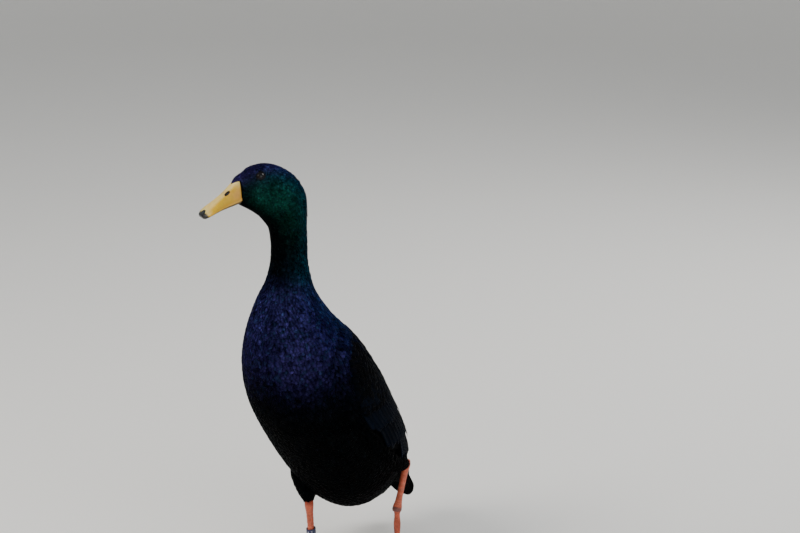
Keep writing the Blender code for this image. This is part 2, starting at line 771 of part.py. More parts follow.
def make_tail(mat):
    """A narrow closed fan of tail feathers under and over their coverts, on a tapered root."""
    sides = 16
    last = [torso_skin(len(TORSO_RINGS) - 1, 360.0 * j / sides) for j in range(sides)]
    dorsal = last[0] - last[sides // 2]
    normal = Vector((0, dorsal.z, -dorsal.y)).normalized()
    if normal.y < 0:
        normal = -normal
    rings = [[p + normal * (GAP + 0.08) for p in last]]
    for along, half, deep in TAIL_CORE:
        p, out, up = tail_frame(along)
        ring = []
        for j in range(sides):
            a = 2 * math.pi * j / sides
            ring.append(p + Vector((half * math.sin(a), 0, 0)) + up * (deep * math.cos(a)))
        rings.append(ring)
    tail = loft("tail", rings, mat)

    def flat_place(along, across, height):
        p, out, up = tail_frame(along)
        return p + Vector((across, 0, 0)) + up * height

    def round_place(middle):
        """Places a covert whose shaft runs down the tail's side at an angle from its top."""
        def place(along, across, height):
            half, deep = tail_round(along)
            angle = middle + across / math.hypot(half * math.cos(middle), deep * math.sin(middle))
            p, out, up = tail_frame(along)
            across = Vector(((half + height) * math.sin(angle), 0, 0))
            return p + across + up * ((deep + height) * math.cos(angle))
        return place

    vanes = []
    for side in (1, -1):
        tip = 1.0 if side > 0 else 0.985
        vanes.append(vane(flat_place, feather_stations(0.2, (0.45, 0.68), tip, 0.12), lambda along, s=side: 1.3 * s,
                          6.6, lambda along, s=side: 2.2 + 0.5 * s, 0.0))
        for k in range(TAIL_PAIRS):
            spread = 7.1 + 2.2 * k

            def shaft(along, s=side, x=spread):
                return s * x * (0.72 + 0.28 * min(along / 0.8, 1.0))

            vanes.append(vane(flat_place, feather_stations(0.2, (0.45, 0.68), 0.95 - 0.055 * k, 0.12), shaft, 6.4,
                              lambda along, k=k: -0.2 - 0.62 * k, -0.2 * side))
    for middle, tip, curve, count in ((0.0, 0.46, 66.0, 5), (180.0, 0.60, 60.0, 4)):
        for i in range(count):
            share = 2 * i / (count - 1) - 1
            angle = math.radians(middle + curve * share)
            raised = 1.1 * (1 - abs(share))
            slope = -0.06 * share
            stations = feather_stations(0.03, (0.2,), tip - 0.09 * abs(share), 0.11)
            vanes.append(vane(round_place(angle), stations, lambda along: 0.0, 6.6,
                              lambda along, r=raised: -1.7 + 1.9 * smoothstep((along - 0.03) / 0.2) + r,
                              slope))
    boolean(tail, vanes, "UNION", "MANIFOLD")
    return tail


# --- legs -------------------------------------------------------------------------------------------

def tube(name, stations, sides=14, mat=None):
    """A round limb through (point, radius across, radius fore and aft, ahead vector) stations."""
    rings = []
    for i, (p, wide, deep, ahead) in enumerate(stations):
        before = stations[max(i - 1, 0)][0]
        after = stations[min(i + 1, len(stations) - 1)][0]
        axis = (after - before).normalized()
        ahead = (ahead - axis * ahead.dot(axis)).normalized()
        across = axis.cross(ahead)
        ring = []
        for j in range(sides):
            a = 2 * math.pi * j / sides
            ring.append(p + across * (wide * math.cos(a)) + ahead * (deep * math.sin(a)))
        rings.append(ring)
    return loft(name, rings, mat)


LEGS = {
    "left": (Vector(LEFT_HOCK), Vector(LEFT_ANKLE), LEFT_TOE_HEADING),
    "right": (Vector(RIGHT_HOCK), Vector(RIGHT_ANKLE), RIGHT_TOE_HEADING),
}
KNEES = {"left": Vector((40.0, -14.0, 128.0)), "right": Vector((-30.0, -62.0, 122.0))}
THIGH_SHOW = {"left": 2.0, "right": 5.0}


def tarsus_stations(side):
    hock, ankle, heading = LEGS[side]
    ahead = Vector((math.sin(heading), -math.cos(heading), 0))
    stations = []
    shape = ((-0.135, 0.55, 0.55), (-0.11, 0.95, 0.95), (-0.06, 1.20, 1.22), (0.0, 1.30, 1.30),
             (0.08, 1.20, 1.18), (0.20, 1.02, 1.02), (0.45, 0.95, 0.96), (0.70, 0.96, 0.96),
             (0.86, 1.12, 1.0), (0.97, 1.4, 1.0))
    for share, wide, deep in shape:
        p = hock.lerp(ankle, share)
        stations.append((p, TARSUS_HALF_WIDTH * wide, TARSUS_HALF_DEPTH * deep, ahead))
    return stations


def make_tarsus(side, mat, grow=0.0, name="tarsus_"):
    stations = [(p, wide + grow, deep + grow, ahead) for p, wide, deep, ahead in tarsus_stations(side)]
    if grow:
        for at, near, place in ((-1, -2, len(stations)), (0, 1, 0)):
            end, wide, deep, ahead = stations[at]
            longer = end + (end - stations[near][0]).normalized() * grow
            stations.insert(place, (longer, wide, deep, ahead))
    return tube(name + side, stations, 14, mat)


def make_thigh(side, mat):
    """The feathered lower leg, from the belly to just above the hock."""
    hock, ankle, heading = LEGS[side]
    knee = KNEES[side]
    up = (knee - hock).normalized()
    ahead = Vector((0, -1, 0))
    low = hock + up * THIGH_SHOW[side]
    stations = [(low, 6.4, 6.8, ahead)]
    for share, size in ((0.08, 8.6), (0.22, 12.2), (0.45, 16.0), (0.75, 19.0), (1.0, 20.0)):
        stations.append((low.lerp(knee, share), size * 0.92, size, ahead))
    thigh = tube("thigh_" + side, stations, 18, mat)
    cutters = [make_torso(None, GAP + 0.12, "torso_cut"), make_tarsus(side, None, GAP, "cut_")]
    cutters.append(wing_envelope("wing_cut", 1 if side == "left" else -1, 1.6))
    boolean(thigh, cutters, "DIFFERENCE", "MANIFOLD")
    return thigh


def toe_size(share):
    """Radius of a toe a share of the way to its claw."""
    return TOE_RADIUS * (1.05 - 0.42 * share)


def toe_points(side, splay, length):
    """Middles of a toe's joints from the ankle out; the left foot stands on its toe tips."""
    hock, ankle, heading = LEGS[side]
    way = Vector((math.sin(heading + splay), -math.cos(heading + splay), 0))
    points = []
    for i in range(TOE_STEPS + 1):
        share = i / TOE_STEPS
        rest = toe_size(share) - TOE_PRESS
        if side == "right":
            z = rest + (ankle.z - 2.0 - rest) * (1 - smoothstep(length * share / 16.0))
            points.append(Vector((ankle.x, ankle.y, z)) + way * (length * share))
            continue
        slant = length - TIP_ON_FLOOR
        run = math.sqrt(max(slant * slant - ankle.z * ankle.z, 9.0))
        down = min(share / TIP_BEND, 1.0)
        onward = max(0.0, share - TIP_BEND) / (1 - TIP_BEND) * TIP_ON_FLOOR
        arch = math.sin(math.pi * down)
        z = rest + (ankle.z - rest) * (1 - down) + 1.0 * arch
        points.append(Vector((ankle.x, ankle.y, z)) + way * (run * down + onward + 2.5 * arch))
    return points


SPLAY = {"right": {"inner": 0.40, "middle": 0.0, "outer": -0.42},
         "left": {"inner": -0.24, "middle": 0.0, "outer": 0.24}}


def make_toe(side, key):
    points = toe_points(side, SPLAY[side][key], TOE_LENGTHS[key] * 0.92)
    stations = []
    up = Vector((0, 0, 1))
    for i, p in enumerate(points):
        share = i / (len(points) - 1)
        knuckle = 1.0 + 0.10 * math.cos(share * math.pi * 6)
        size = toe_size(share) * knuckle
        stations.append((p, size, size, up if side == "right" else Vector((0, -1, 0.3))))
    way = (points[-1] - points[-2]).normalized()
    tip = points[-1] + way * CLAW_LENGTH * 0.5
    tip.z = 1.6
    stations.append((tip, 1.2, 1.4, up))
    end = tip + way * CLAW_LENGTH * 0.5
    end.z = 0.6
    stations.append((end, 0.45, 0.5, up))
    return tube("toe", stations, 8)


def make_web(side, first, second):
    """The skin between two toes, its free edge hollow."""
    a = toe_points(side, SPLAY[side][first], TOE_LENGTHS[first] * 0.86)
    b = toe_points(side, SPLAY[side][second], TOE_LENGTHS[second] * 0.80)
    upper = []
    lower = []
    cols = 4
    for p, q in zip(a[1:], b[1:]):
        row_up = []
        row_low = []
        for j in range(cols):
            share = j / (cols - 1)
            m = p.lerp(q, share)
            reach = (p - a[0]).length / (a[-1] - a[0]).length
            back = math.sin(math.pi * share) * 5.0 * smoothstep(reach)
            home = (a[0] - m).normalized()
            m = m + home * back
            row_up.append(m + Vector((0, 0, WEB_THICK / 2)))
            row_low.append(m - Vector((0, 0, WEB_THICK / 2)))
        upper.append(row_up)
        lower.append(row_low)
    return shell("web", upper, lower)


def make_hind_toe(side):
    hock, ankle, heading = LEGS[side]
    way = Vector((math.sin(heading), -math.cos(heading), 0))
    inward = Vector((way.y, -way.x, 0)) * (1 if side == "left" else -1)
    root = ankle - way * 1.0 + inward * 2.0
    end = root - way * 12.0 + inward * 2.5 - Vector((0, 0, 3.5 if side == "right" else 6.0))
    stations = []
    for share, size in ((0.0, 2.6), (0.4, 2.2), (0.75, 1.8), (0.92, 1.2), (1.05, 0.6)):
        stations.append((root.lerp(end, share), size, size, Vector((0, 0, 1))))
    return tube("hind_toe", stations, 8)


def floor_cut(name):
    """A block whose top is the floor."""
    mesh = bpy.data.meshes.new(name)
    bm = bmesh.new()
    bmesh.ops.create_cube(bm, size=1.0)
    bmesh.ops.transform(bm, matrix=Matrix.Diagonal((0.6, 0.6, 0.1, 1.0)), verts=bm.verts)
    bmesh.ops.translate(bm, verts=bm.verts, vec=(0, 0, -0.05))
    bm.to_mesh(mesh)
    bm.free()
    obj = bpy.data.objects.new(name, mesh)
    bpy.context.scene.collection.objects.link(obj)
    return obj


def make_foot(side, mat):
    hock, ankle, heading = LEGS[side]
    leg = (ankle - hock).normalized()
    top = ankle + leg * GAP
    ahead = Vector((math.sin(heading), -math.cos(heading), 0))
    last = tarsus_stations(side)[-1]
    top = last[0] + leg * GAP
    stations = [(top, last[1], last[2], ahead),
                (top + leg * 3.0, last[1] * 1.05, last[2] * 1.05, ahead),
                (top + leg * 6.0, last[1] * 0.8, last[2] * 0.85, ahead)]
    foot = tube("foot_" + side, stations, 12, mat)
    pieces = [make_toe(side, key) for key in TOE_LENGTHS]
    pieces += [make_web(side, "inner", "middle"), make_web(side, "outer", "middle")]
    pieces.append(make_hind_toe(side))
    boolean(foot, pieces, "UNION")
    boolean(foot, [floor_cut("floor"), make_tarsus(side, None, GAP, "cut_")], "DIFFERENCE")
    return foot


def make_leg_ring(mat):
    """A split plastic band round the right tarsus."""
    hock, ankle, heading = LEGS["right"]
    middle = hock.lerp(ankle, RING_ALONG)
    axis = (ankle - hock).normalized()
    ahead = Vector((math.sin(heading), -math.cos(heading), 0))
    ahead = (ahead - axis * ahead.dot(axis)).normalized()
    across = axis.cross(ahead)
    outer = []
    inner = []
    steps = 25
    wide = TARSUS_HALF_WIDTH * 0.97 + RING_CLEAR
    deep = TARSUS_HALF_DEPTH * 0.97 + RING_CLEAR
    for i in range(steps):
        a = 2 * math.pi * (i / (steps - 1) * 0.985)
        grow = RING_WALL
        around = across * math.cos(a)
        onward = ahead * math.sin(a)
        outer_row = []
        inner_row = []
        for end in (-0.5, 0.5):
            base = middle + axis * (RING_HEIGHT * end)
            outer_row.append(base + around * (wide + grow) + onward * (deep + grow))
            inner_row.append(base + around * wide + onward * deep)
        outer.append(outer_row)
        inner.append(inner_row)
    return shell("leg_ring", outer, inner, mat)


def centre_on_floor():
    """Brings the middle of the bird's box over the origin, with the soles on the floor."""
    corners = [v.co for obj in bpy.data.objects for v in obj.data.vertices]
    shift = Vector((0, 0, 0))
    for axis in (0, 1):
        shift[axis] = -(min(c[axis] for c in corners) + max(c[axis] for c in corners)) / 2
    for obj in bpy.data.objects:
        obj.data.transform(Matrix.Translation(shift))


def clear_scene():
    for obj in list(bpy.data.objects):
        bpy.data.objects.remove(obj)


def main():
    random.seed(SEED)
    clear_scene()
    plumage = material("black plumage", (0.008, 0.008, 0.012), 0.45)
    sheen = material("green-black plumage", (0.006, 0.014, 0.012), 0.38)
    horn = material("yellow bill", (0.72, 0.43, 0.06), 0.42)
    dark = material("dark horn", (0.05, 0.045, 0.04), 0.5)
    black_horn = material("black nail", (0.01, 0.012, 0.018), 0.3)
    eye = material("dark eye", (0.012, 0.008, 0.006), 0.08)
    scales = material("orange-red leg skin", (0.62, 0.13, 0.05), 0.5)
    plastic = material("leg ring plastic", (0.01, 0.014, 0.04), 0.35)
    make_torso(plumage)
    make_neck(sheen)
    make_head(sheen)
    make_eyes(eye)
    make_bill(horn, dark, black_horn)
    make_tail(plumage)
    for side in (1, -1):
        make_wing(side, plumage)
    for side in ("left", "right"):
        make_thigh(side, plumage)
        make_tarsus(side, scales)
        make_foot(side, scales)
    make_leg_ring(plastic)
    centre_on_floor()
    for obj in bpy.data.objects:
        obj.data.shade_smooth()
        obj.data.set_sharp_from_angle(angle=math.radians(40))


if __name__ == "__main__":
    main()
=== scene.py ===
"""Indian Runner duck: skin, feathers, bill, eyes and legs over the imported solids.

Lengths are in millimetres until a mesh is made, which is in metres. The body faces -Y, +X is the duck's
left. One loft of rings runs from the bill's root over neck and trunk onto the tail: "station" counts its
rings, and angles run round it from the middle of the back.
"""

import math

import bpy
import bmesh
import numpy as np
from mathutils import Matrix, Vector
from mathutils.bvhtree import BVHTree


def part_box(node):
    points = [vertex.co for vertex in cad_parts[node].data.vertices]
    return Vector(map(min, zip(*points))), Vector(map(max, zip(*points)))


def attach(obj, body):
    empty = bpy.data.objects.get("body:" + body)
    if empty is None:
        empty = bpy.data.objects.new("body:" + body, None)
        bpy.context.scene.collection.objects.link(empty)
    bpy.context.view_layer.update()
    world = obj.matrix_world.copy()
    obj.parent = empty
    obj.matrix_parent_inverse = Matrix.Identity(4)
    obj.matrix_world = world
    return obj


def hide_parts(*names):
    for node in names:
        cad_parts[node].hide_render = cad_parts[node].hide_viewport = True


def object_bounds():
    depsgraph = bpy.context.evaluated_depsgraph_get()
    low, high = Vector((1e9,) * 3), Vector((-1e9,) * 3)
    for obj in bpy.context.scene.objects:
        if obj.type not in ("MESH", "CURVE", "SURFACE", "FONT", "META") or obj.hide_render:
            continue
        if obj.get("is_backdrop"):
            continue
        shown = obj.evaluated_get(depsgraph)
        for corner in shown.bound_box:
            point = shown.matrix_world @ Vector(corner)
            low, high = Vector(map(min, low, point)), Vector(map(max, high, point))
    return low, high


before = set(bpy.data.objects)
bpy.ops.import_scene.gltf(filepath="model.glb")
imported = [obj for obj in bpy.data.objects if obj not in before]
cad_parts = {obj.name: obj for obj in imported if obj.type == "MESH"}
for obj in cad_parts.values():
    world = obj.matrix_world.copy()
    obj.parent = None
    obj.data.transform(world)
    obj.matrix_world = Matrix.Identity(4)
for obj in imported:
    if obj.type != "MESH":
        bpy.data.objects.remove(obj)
CAD_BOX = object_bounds()

bl_info = {
    "name": "Indian Runner Duck",
    "version": (1, 0, 0),
    "blender": (4, 5, 0),
    "location": "View3D > Sidebar > Duck",
    "description": "Dresses the solids of a life-size Indian Runner duck in feathers, horn and scales",
    "category": "Object",
}

MM = 0.001
SEED = 23

# Each ring: dorsal y and z, ventral y and z, half width, low, flat.
TORSO_RINGS = (
    (-95.5, 343.0, -164.5, 333.0, 34.0, 0.00, 0.0),
    (-77.0, 318.0, -172.5, 301.0, 48.0, 0.00, 0.0),
    (-53.0, 289.5, -173.5, 270.0, 61.0, 0.00, 0.0),
    (-29.0, 260.0, -169.5, 241.0, 68.0, 0.02, 0.0),
    (-5.0, 231.0, -160.5, 213.0, 70.7, 0.04, 0.0),
    (15.0, 203.0, -146.5, 188.0, 71.0, 0.06, 0.0),
    (34.0, 175.0, -128.0, 161.0, 70.0, 0.08, 0.0),
    (50.5, 151.0, -108.0, 133.0, 66.5, 0.10, 0.0),
    (63.5, 133.0, -84.0, 102.5, 59.0, 0.12, 0.0),
    (73.0, 123.0, -58.0, 76.5, 50.0, 0.12, 0.0),
    (79.5, 117.0, -22.0, 57.5, 37.0, 0.08, 0.0),
    (83.5, 112.0, 16.0, 55.5, 29.0, 0.04, 0.0),
    (86.5, 107.0, 42.0, 67.5, 24.5, 0.00, 0.0),
    (88.0, 101.5, 54.0, 81.0, 21.0, 0.00, 0.0),
)
NECK_RINGS = (
    (-101.0, 361.0, -153.0, 353.5, 25.5, 0.00, 0.0),
    (-103.5, 379.0, -146.0, 373.0, 21.2, 0.00, 0.0),
    (-104.0, 396.0, -144.0, 390.0, 19.9, 0.00, 0.0),
)
HEAD_RINGS = (
    (-104.0, 414.0, -144.5, 404.0, 19.8, 0.00, 0.0),
    (-103.5, 436.0, -147.0, 417.0, 19.6, 0.00, 0.0),
    (-105.0, 454.0, -152.5, 425.5, 19.2, 0.00, 0.05),
    (-113.5, 469.5, -158.5, 432.5, 19.0, 0.05, 0.10),
    (-125.5, 480.5, -164.5, 437.5, 19.0, 0.10, 0.15),
    (-140.0, 488.5, -170.5, 441.5, 18.8, 0.14, 0.20),
    (-156.0, 491.0, -175.5, 444.5, 18.2, 0.14, 0.22),
    (-170.0, 487.5, -180.0, 447.0, 16.6, 0.10, 0.20),
    (-180.5, 481.5, -183.0, 449.0, 13.4, 0.06, 0.15),
    (-185.0, 478.0, -184.5, 451.5, 10.6, 0.00, 0.10),
)
TRUNK = 13                      # station of the trunk's first ring
HEAD_TURN = math.radians(-26.0)
TURN_FROM_Z = 340.0
TURN_TO_Z = 415.0
NECK_AXIS_Y = -123.7
HEAD_FROM_Z = 440.0

# Wings, in ring numbers along the trunk and degrees round it.
WING_FRONT = ((1.55, 62.0), (2.2, 92.0), (3.4, 101.0), (5.0, 100.0), (6.6, 90.0), (8.2, 71.0),
              (9.8, 49.0), (11.3, 37.0), (12.6, 29.0))
WING_BACK = ((1.55, 48.0), (2.2, 36.0), (3.4, 22.0), (5.0, 11.0), (6.6, 7.0), (8.2, 6.0),
             (9.8, 9.0), (11.3, 13.0), (12.6, 18.0))
STATION_AT_WRIST = 28.0         # millimetres from one station to the next
STATION_AT_TIPS = 26.0

# Tail: length, degrees below level at root and tip; along, half width and half depth of its coverts.
TAIL_LENGTH = 70.0
TAIL_SLOPE = (54.0, 70.0)
TAIL_ROUND = ((0.0, 19.3, 17.6), (0.2, 18.6, 12.6), (0.4, 16.6, 8.2), (0.6, 14.0, 5.2), (0.8, 11.0, 3.4),
              (1.0, 8.0, 2.0))

# Legs: hock, ankle and the way the toes point, turned towards +X.
LEGS = {
    "left": ((47.5, 36.6, 101.0), (46.5, 19.0, 51.5), math.radians(34.0)),
    "right": ((-24.0, -61.2, 67.3), (-24.0, -55.7, 9.5), math.radians(11.0)),
}
KNEES = {"left": (40.0, -14.0, 128.0), "right": (-30.0, -62.0, 122.0)}
THIGH_SHOW = {"left": 2.0, "right": 5.0}
TARSUS_HALF = (3.9, 5.0)        # across, fore and aft
TOE_LENGTHS = {"inner": 46.0, "middle": 60.0, "outer": 56.0}
SPLAY = {"right": {"inner": 0.40, "middle": 0.0, "outer": -0.42},
         "left": {"inner": -0.24, "middle": 0.0, "outer": 0.24}}
TOE_RADIUS = 3.3
TOE_PRESS = 0.45
TIP_ON_FLOOR = 9.0
TIP_BEND = 0.8
CLAW_LENGTH = 8.0
RING_ALONG = 0.60
RING_HEIGHT = 7.0

# Bill: (forward, half width, height of the culmen, height of the edge), pitched down from its root.
BILL_PITCH = math.radians(22.0)
BILL_ROOT = (-184.0, 465.0)
UPPER_BILL = (
    (-9.0, 9.4, 13.5, -9.5),
    (2.0, 9.3, 11.0, -9.3),
    (12.0, 9.0, 7.2, -8.6),
    (21.0, 9.4, 4.4, -7.4),
    (30.0, 11.0, 2.0, -6.3),
    (38.5, 12.9, -0.2, -5.8),
    (44.5, 12.6, -2.0, -6.0),
    (48.3, 9.4, -3.4, -6.6),
    (50.0, 4.8, -4.6, -7.0),
)
MOUTH_GAP = 0.45
NAIL_FROM = 42.8
NAIL_HALF = 4.4
WEDGE = ((-10.0, 9.0, 15.0, 12.0), (-3.0, 5.4, 14.2, 6.0), (1.5, 3.0, 12.3, 3.6), (5.0, 0.8, 10.3, 1.4))

# Eyes.
EYE_Y = -164.0
EYE_Z = 480.8
EYE_RADIUS = 5.6
EYE_SINK = 3.0


# --- plain curves and surfaces ----------------------------------------------------------------------

def smooth(value):
    """0 to 1 with level ends."""
    value = np.clip(value, 0.0, 1.0)
    return value * value * (3.0 - 2.0 * value)


def spline(rows, t):
    """Smooth rows of numbers through the given rows; t counts rows from 0 and may be an array."""
    rows = np.asarray(rows, float)
    last = len(rows) - 1
    t = np.clip(np.asarray(t, float), 0.0, last)
    i = np.minimum(t.astype(int), last - 1)
    f = (t - i)[..., None]
    p1 = rows[i]
    p2 = rows[i + 1]
    p0 = np.where((i > 0)[..., None], rows[np.maximum(i - 1, 0)], 2 * p1 - p2)
    p3 = np.where((i + 2 <= last)[..., None], rows[np.minimum(i + 2, last)], 2 * p2 - p1)
    return 0.5 * (2 * p1 + (p2 - p0) * f + (2 * p0 - 5 * p1 + 4 * p2 - p3) * f * f
                  + (3 * p1 - p0 - 3 * p2 + p3) * f ** 3)


def curve(pairs, x):
    """Reads a curve given as (x, y) pairs, smoothly."""
    pairs = np.asarray(pairs, float)
    t = np.interp(x, pairs[:, 0], np.arange(len(pairs)))
    return spline(pairs[:, 1:2], t)[..., 0]


def tail_frame(along):
    """Middle of the tail and its dorsal side, as y and z, along 0 at the root to 1 at the tip."""
    row = TORSO_RINGS[-1]
    p = np.array(((row[0] + row[2]) / 2, (row[1] + row[3]) / 2))
    steps = 20
    for i in range(steps):
        share = (i + 0.5) / steps * along
        slope = math.radians(TAIL_SLOPE[0] + (TAIL_SLOPE[1] - TAIL_SLOPE[0]) * share)
        p = p + np.array((math.cos(slope), -math.sin(slope))) * (TAIL_LENGTH * along / steps)
    slope = math.radians(TAIL_SLOPE[0] + (TAIL_SLOPE[1] - TAIL_SLOPE[0]) * along)
    return p, np.array((math.sin(slope), math.cos(slope)))


def tail_ring(along):
    """The tail coverts' surface as a ring of the body's loft."""
    p, up = tail_frame(along)
    half = float(curve([(r[0], r[1]) for r in TAIL_ROUND], along))
    deep = float(curve([(r[0], r[2]) for r in TAIL_ROUND], along))
    return (*(p + up * deep), *(p - up * deep), half, 0.0, 0.0)


TAIL_RINGS = tuple(tail_ring(along) for along in (0.16, 0.34, 0.52, 0.70, 0.88))
BODY_RINGS = HEAD_RINGS[::-1] + NECK_RINGS[::-1] + TORSO_RINGS + TAIL_RINGS
TAIL_STATION = TRUNK + len(TORSO_RINGS) - 1


def ring_points(t, angle):
    """Points of the body's loft before the head is turned."""
    dy, dz, vy, vz, half, low, flat = np.moveaxis(spline(BODY_RINGS, t), -1, 0)
    c = np.cos(angle)
    s = np.sin(angle)
    sink = low * s * s
    y = (dy + vy) / 2 + (dy - vy) / 2 * c + sink * (vy - dy) / 2
    z = (dz + vz) / 2 + (dz - vz) / 2 * c + sink * (vz - dz) / 2
    x = half * np.sign(s) * np.abs(s) ** (1.0 - flat)
    return np.stack([x, y, z], -1)


def unit(v):
    return v / np.maximum(np.linalg.norm(v, axis=-1, keepdims=True), 1e-9)


def turn_head(p):
    """Turns what is above the neck's foot about the neck, more and more up to the head."""
    p = np.asarray(p, float)
    turn = HEAD_TURN * smooth((p[..., 2] - TURN_FROM_Z) / (TURN_TO_Z - TURN_FROM_Z))
    c = np.cos(turn)
    s = np.sin(turn)
    x = p[..., 0]
    y = p[..., 1] - NECK_AXIS_Y
    return np.stack([c * x - s * y, s * x + c * y + NECK_AXIS_Y, p[..., 2]], -1)


def body_straight(t, angle, height=0.0):
    """A point over the body's loft, height above it along its normal, the head not yet turned."""
    t, angle, height = np.broadcast_arrays(np.asarray(t, float), angle, height)
    d = 0.02
    p = ring_points(t, angle)
    along = ring_points(t + d, angle) - ring_points(t - d, angle)
    around = ring_points(t, angle + d) - ring_points(t, angle - d)
    return p + unit(np.cross(around, along)) * height[..., None]


def body(t, angle, height=0.0):
    return turn_head(body_straight(t, angle, height))


def bill_space(p):
    """From the bill's own axes (left, forward, up from its root) to the model, head turned."""
    p = np.asarray(p, float)
    c = math.cos(BILL_PITCH)
    s = math.sin(BILL_PITCH)
    y = BILL_ROOT[0] - c * p[..., 1] - s * p[..., 2]
    z = BILL_ROOT[1] - s * p[..., 1] + c * p[..., 2]
    return turn_head(np.stack([p[..., 0], y, z], -1))


def bill_axes(p):
    """The way back: from the model to the bill's own axes."""
    c = math.cos(-HEAD_TURN)
    s = math.sin(-HEAD_TURN)
    x = c * p[..., 0] - s * (p[..., 1] - NECK_AXIS_Y)
    y = s * p[..., 0] + c * (p[..., 1] - NECK_AXIS_Y) + NECK_AXIS_Y - BILL_ROOT[0]
    z = p[..., 2] - BILL_ROOT[1]
    c = math.cos(BILL_PITCH)
    s = math.sin(BILL_PITCH)
    return np.stack([x, -c * y - s * z, -s * y + c * z], -1)


def find_shift():
    """How far the model was moved along Y to stand over the origin, read from the torso's own box."""
    lowest = spline(TORSO_RINGS, np.arange(0.0, len(TORSO_RINGS) - 0.5, 0.5))[:, 2].min()
    return float(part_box("torso")[0][1]) / MM - lowest


SHIFT = np.array((0.0, find_shift(), 0.0))


# --- meshes -----------------------------------------------------------------------------------------

def linear(text):
    """An sRGB hex colour as linear red, green and blue."""
    parts = [int(text[i:i + 2], 16) / 255 for i in (1, 3, 5)]
    return tuple(c / 12.92 if c <= 0.04045 else ((c + 0.055) / 1.055) ** 2.4 for c in parts)


def turns(count):
    """Angles in even steps once round."""
    return np.arange(count) / count * 2 * math.pi


def outward(points, faces):
    """The faces with their winding turned if the whole body is inside out."""
    a, b, c = (points[faces[:, k]] for k in (0, 1, 2))
    volume = np.sum(np.cross(a, b) * c)
    if faces.shape[1] == 4:
        volume += np.sum(np.cross(a, c) * points[faces[:, 3]])
    return faces[:, ::-1] if volume < 0 else faces


def in_metres(points):
    """Points of the tables, in millimetres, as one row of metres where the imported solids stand."""
    return ((points + SHIFT) * MM).astype(np.float32).ravel()


def new_object(name, mesh):
    obj = bpy.data.objects.new(name, mesh)
    bpy.context.scene.collection.objects.link(obj)
    return obj


def mesh_piece(name, points, faces, material):
    """A mesh object from points in millimetres and an array of faces of one size."""
    points = np.asarray(points, float)
    faces = outward(points, np.asarray(faces, int))
    mesh = bpy.data.meshes.new(name)
    mesh.vertices.add(len(points))
    mesh.vertices.foreach_set("co", in_metres(points))
    mesh.loops.add(faces.size)
    mesh.loops.foreach_set("vertex_index", np.ascontiguousarray(faces, np.int32).ravel())
    mesh.polygons.add(len(faces))
    mesh.polygons.foreach_set("loop_start", np.arange(0, faces.size, faces.shape[1], dtype=np.int32))
    mesh.update(calc_edges=True)
    mesh.materials.append(material)
    mesh.shade_smooth()
    return new_object(name, mesh)


def tube_mesh(rings):
    """Points and faces of a closed tube through an array of rings, with a fan over each end."""
    rings = np.asarray(rings, float)
    rows, sides = rings.shape[:2]
    points = np.concatenate([rings.reshape(-1, 3), rings[:1].mean(1), rings[-1:].mean(1)])
    i, j = np.meshgrid(np.arange(rows - 1), np.arange(sides), indexing="ij")
    a = i * sides + j
    b = i * sides + (j + 1) % sides
    quads = np.stack([a, b, b + sides, a + sides], -1).reshape(-1, 4)
    j = np.arange(sides)
    k = (j + 1) % sides
    far = (rows - 1) * sides
    first = np.stack([k, j, np.full(sides, rows * sides)], -1)
    last = np.stack([far + j, far + k, np.full(sides, rows * sides + 1)], -1)
    return points, np.concatenate([quads[:, [0, 1, 2]], quads[:, [0, 2, 3]], first, last])


def plate_mesh(outer, inner):
    """Points and faces of a closed plate between two matching grids of points."""
    rows, cols = outer.shape[:2]
    points = np.concatenate([outer.reshape(-1, 3), inner.reshape(-1, 3)])
    low = rows * cols
    i, j = np.meshgrid(np.arange(rows - 1), np.arange(cols - 1), indexing="ij")
    a = (i * cols + j).ravel()
    quads = np.stack([a, a + 1, a + cols + 1, a + cols], -1)
    rim = list(range(cols)) + [r * cols + cols - 1 for r in range(1, rows)]
    rim += [(rows - 1) * cols + c for c in range(cols - 2, -1, -1)]
    rim += [r * cols for r in range(rows - 2, 0, -1)]
    edge = [(b, a, low + a, low + b) for a, b in zip(rim, rim[1:] + rim[:1])]
    return points, np.concatenate([quads, quads[:, ::-1] + low, np.array(edge)])


def points_of(obj):
    """An object's points in millimetres, where the tables are."""
    co = np.empty(len(obj.data.vertices) * 3, np.float32)
    obj.data.vertices.foreach_get("co", co)
    return co.reshape(-1, 3) / MM - SHIFT


def set_points(obj, points):
    obj.data.vertices.foreach_set("co", in_metres(points))
    obj.data.update()


def above_floor(obj, height):
    """Lifts what lies under a height and gives the points back."""
    points = points_of(obj)
    points[:, 2] = np.maximum(points[:, 2], height)
    set_points(obj, points)
    return points


def paint(obj, tint, share=1.0):
    """Stores each point's colour, and its share of a feather's length, for the material to read."""
    values = np.empty((len(obj.data.vertices), 4), np.float32)
    values[:, :3] = tint
    values[:, 3] = share
    layer = obj.data.attributes.new("tint", "FLOAT_COLOR", "POINT")
    layer.data.foreach_set("color", values.ravel())


def add_uv(obj, name, per_point):
    """A UV map from one place for each point."""
    layer = obj.data.uv_layers.new(name=name)
    index = np.empty(len(obj.data.loops), np.int32)
    obj.data.loops.foreach_get("vertex_index", index)
    layer.data.foreach_set("uv", np.asarray(per_point, np.float32)[index].ravel())


def select_only(obj):
    for other in bpy.context.selected_objects:
        other.select_set(False)
    obj.select_set(True)
    bpy.context.view_layer.objects.active = obj


def apply_modifier(obj, kind, **settings):
    """Adds a modifier with its settings and applies it."""
    select_only(obj)
    modifier = obj.modifiers.new(kind.lower(), kind)
    for key, value in settings.items():
        setattr(modifier, key, value)
    bpy.ops.object.modifier_apply(modifier=modifier.name)


def cut(obj, tool, operation="DIFFERENCE"):
    """Joins or cuts with a closed object, which is then removed."""
    apply_modifier(obj, "BOOLEAN", operation=operation, solver="EXACT", object=tool)
    bpy.data.objects.remove(tool)


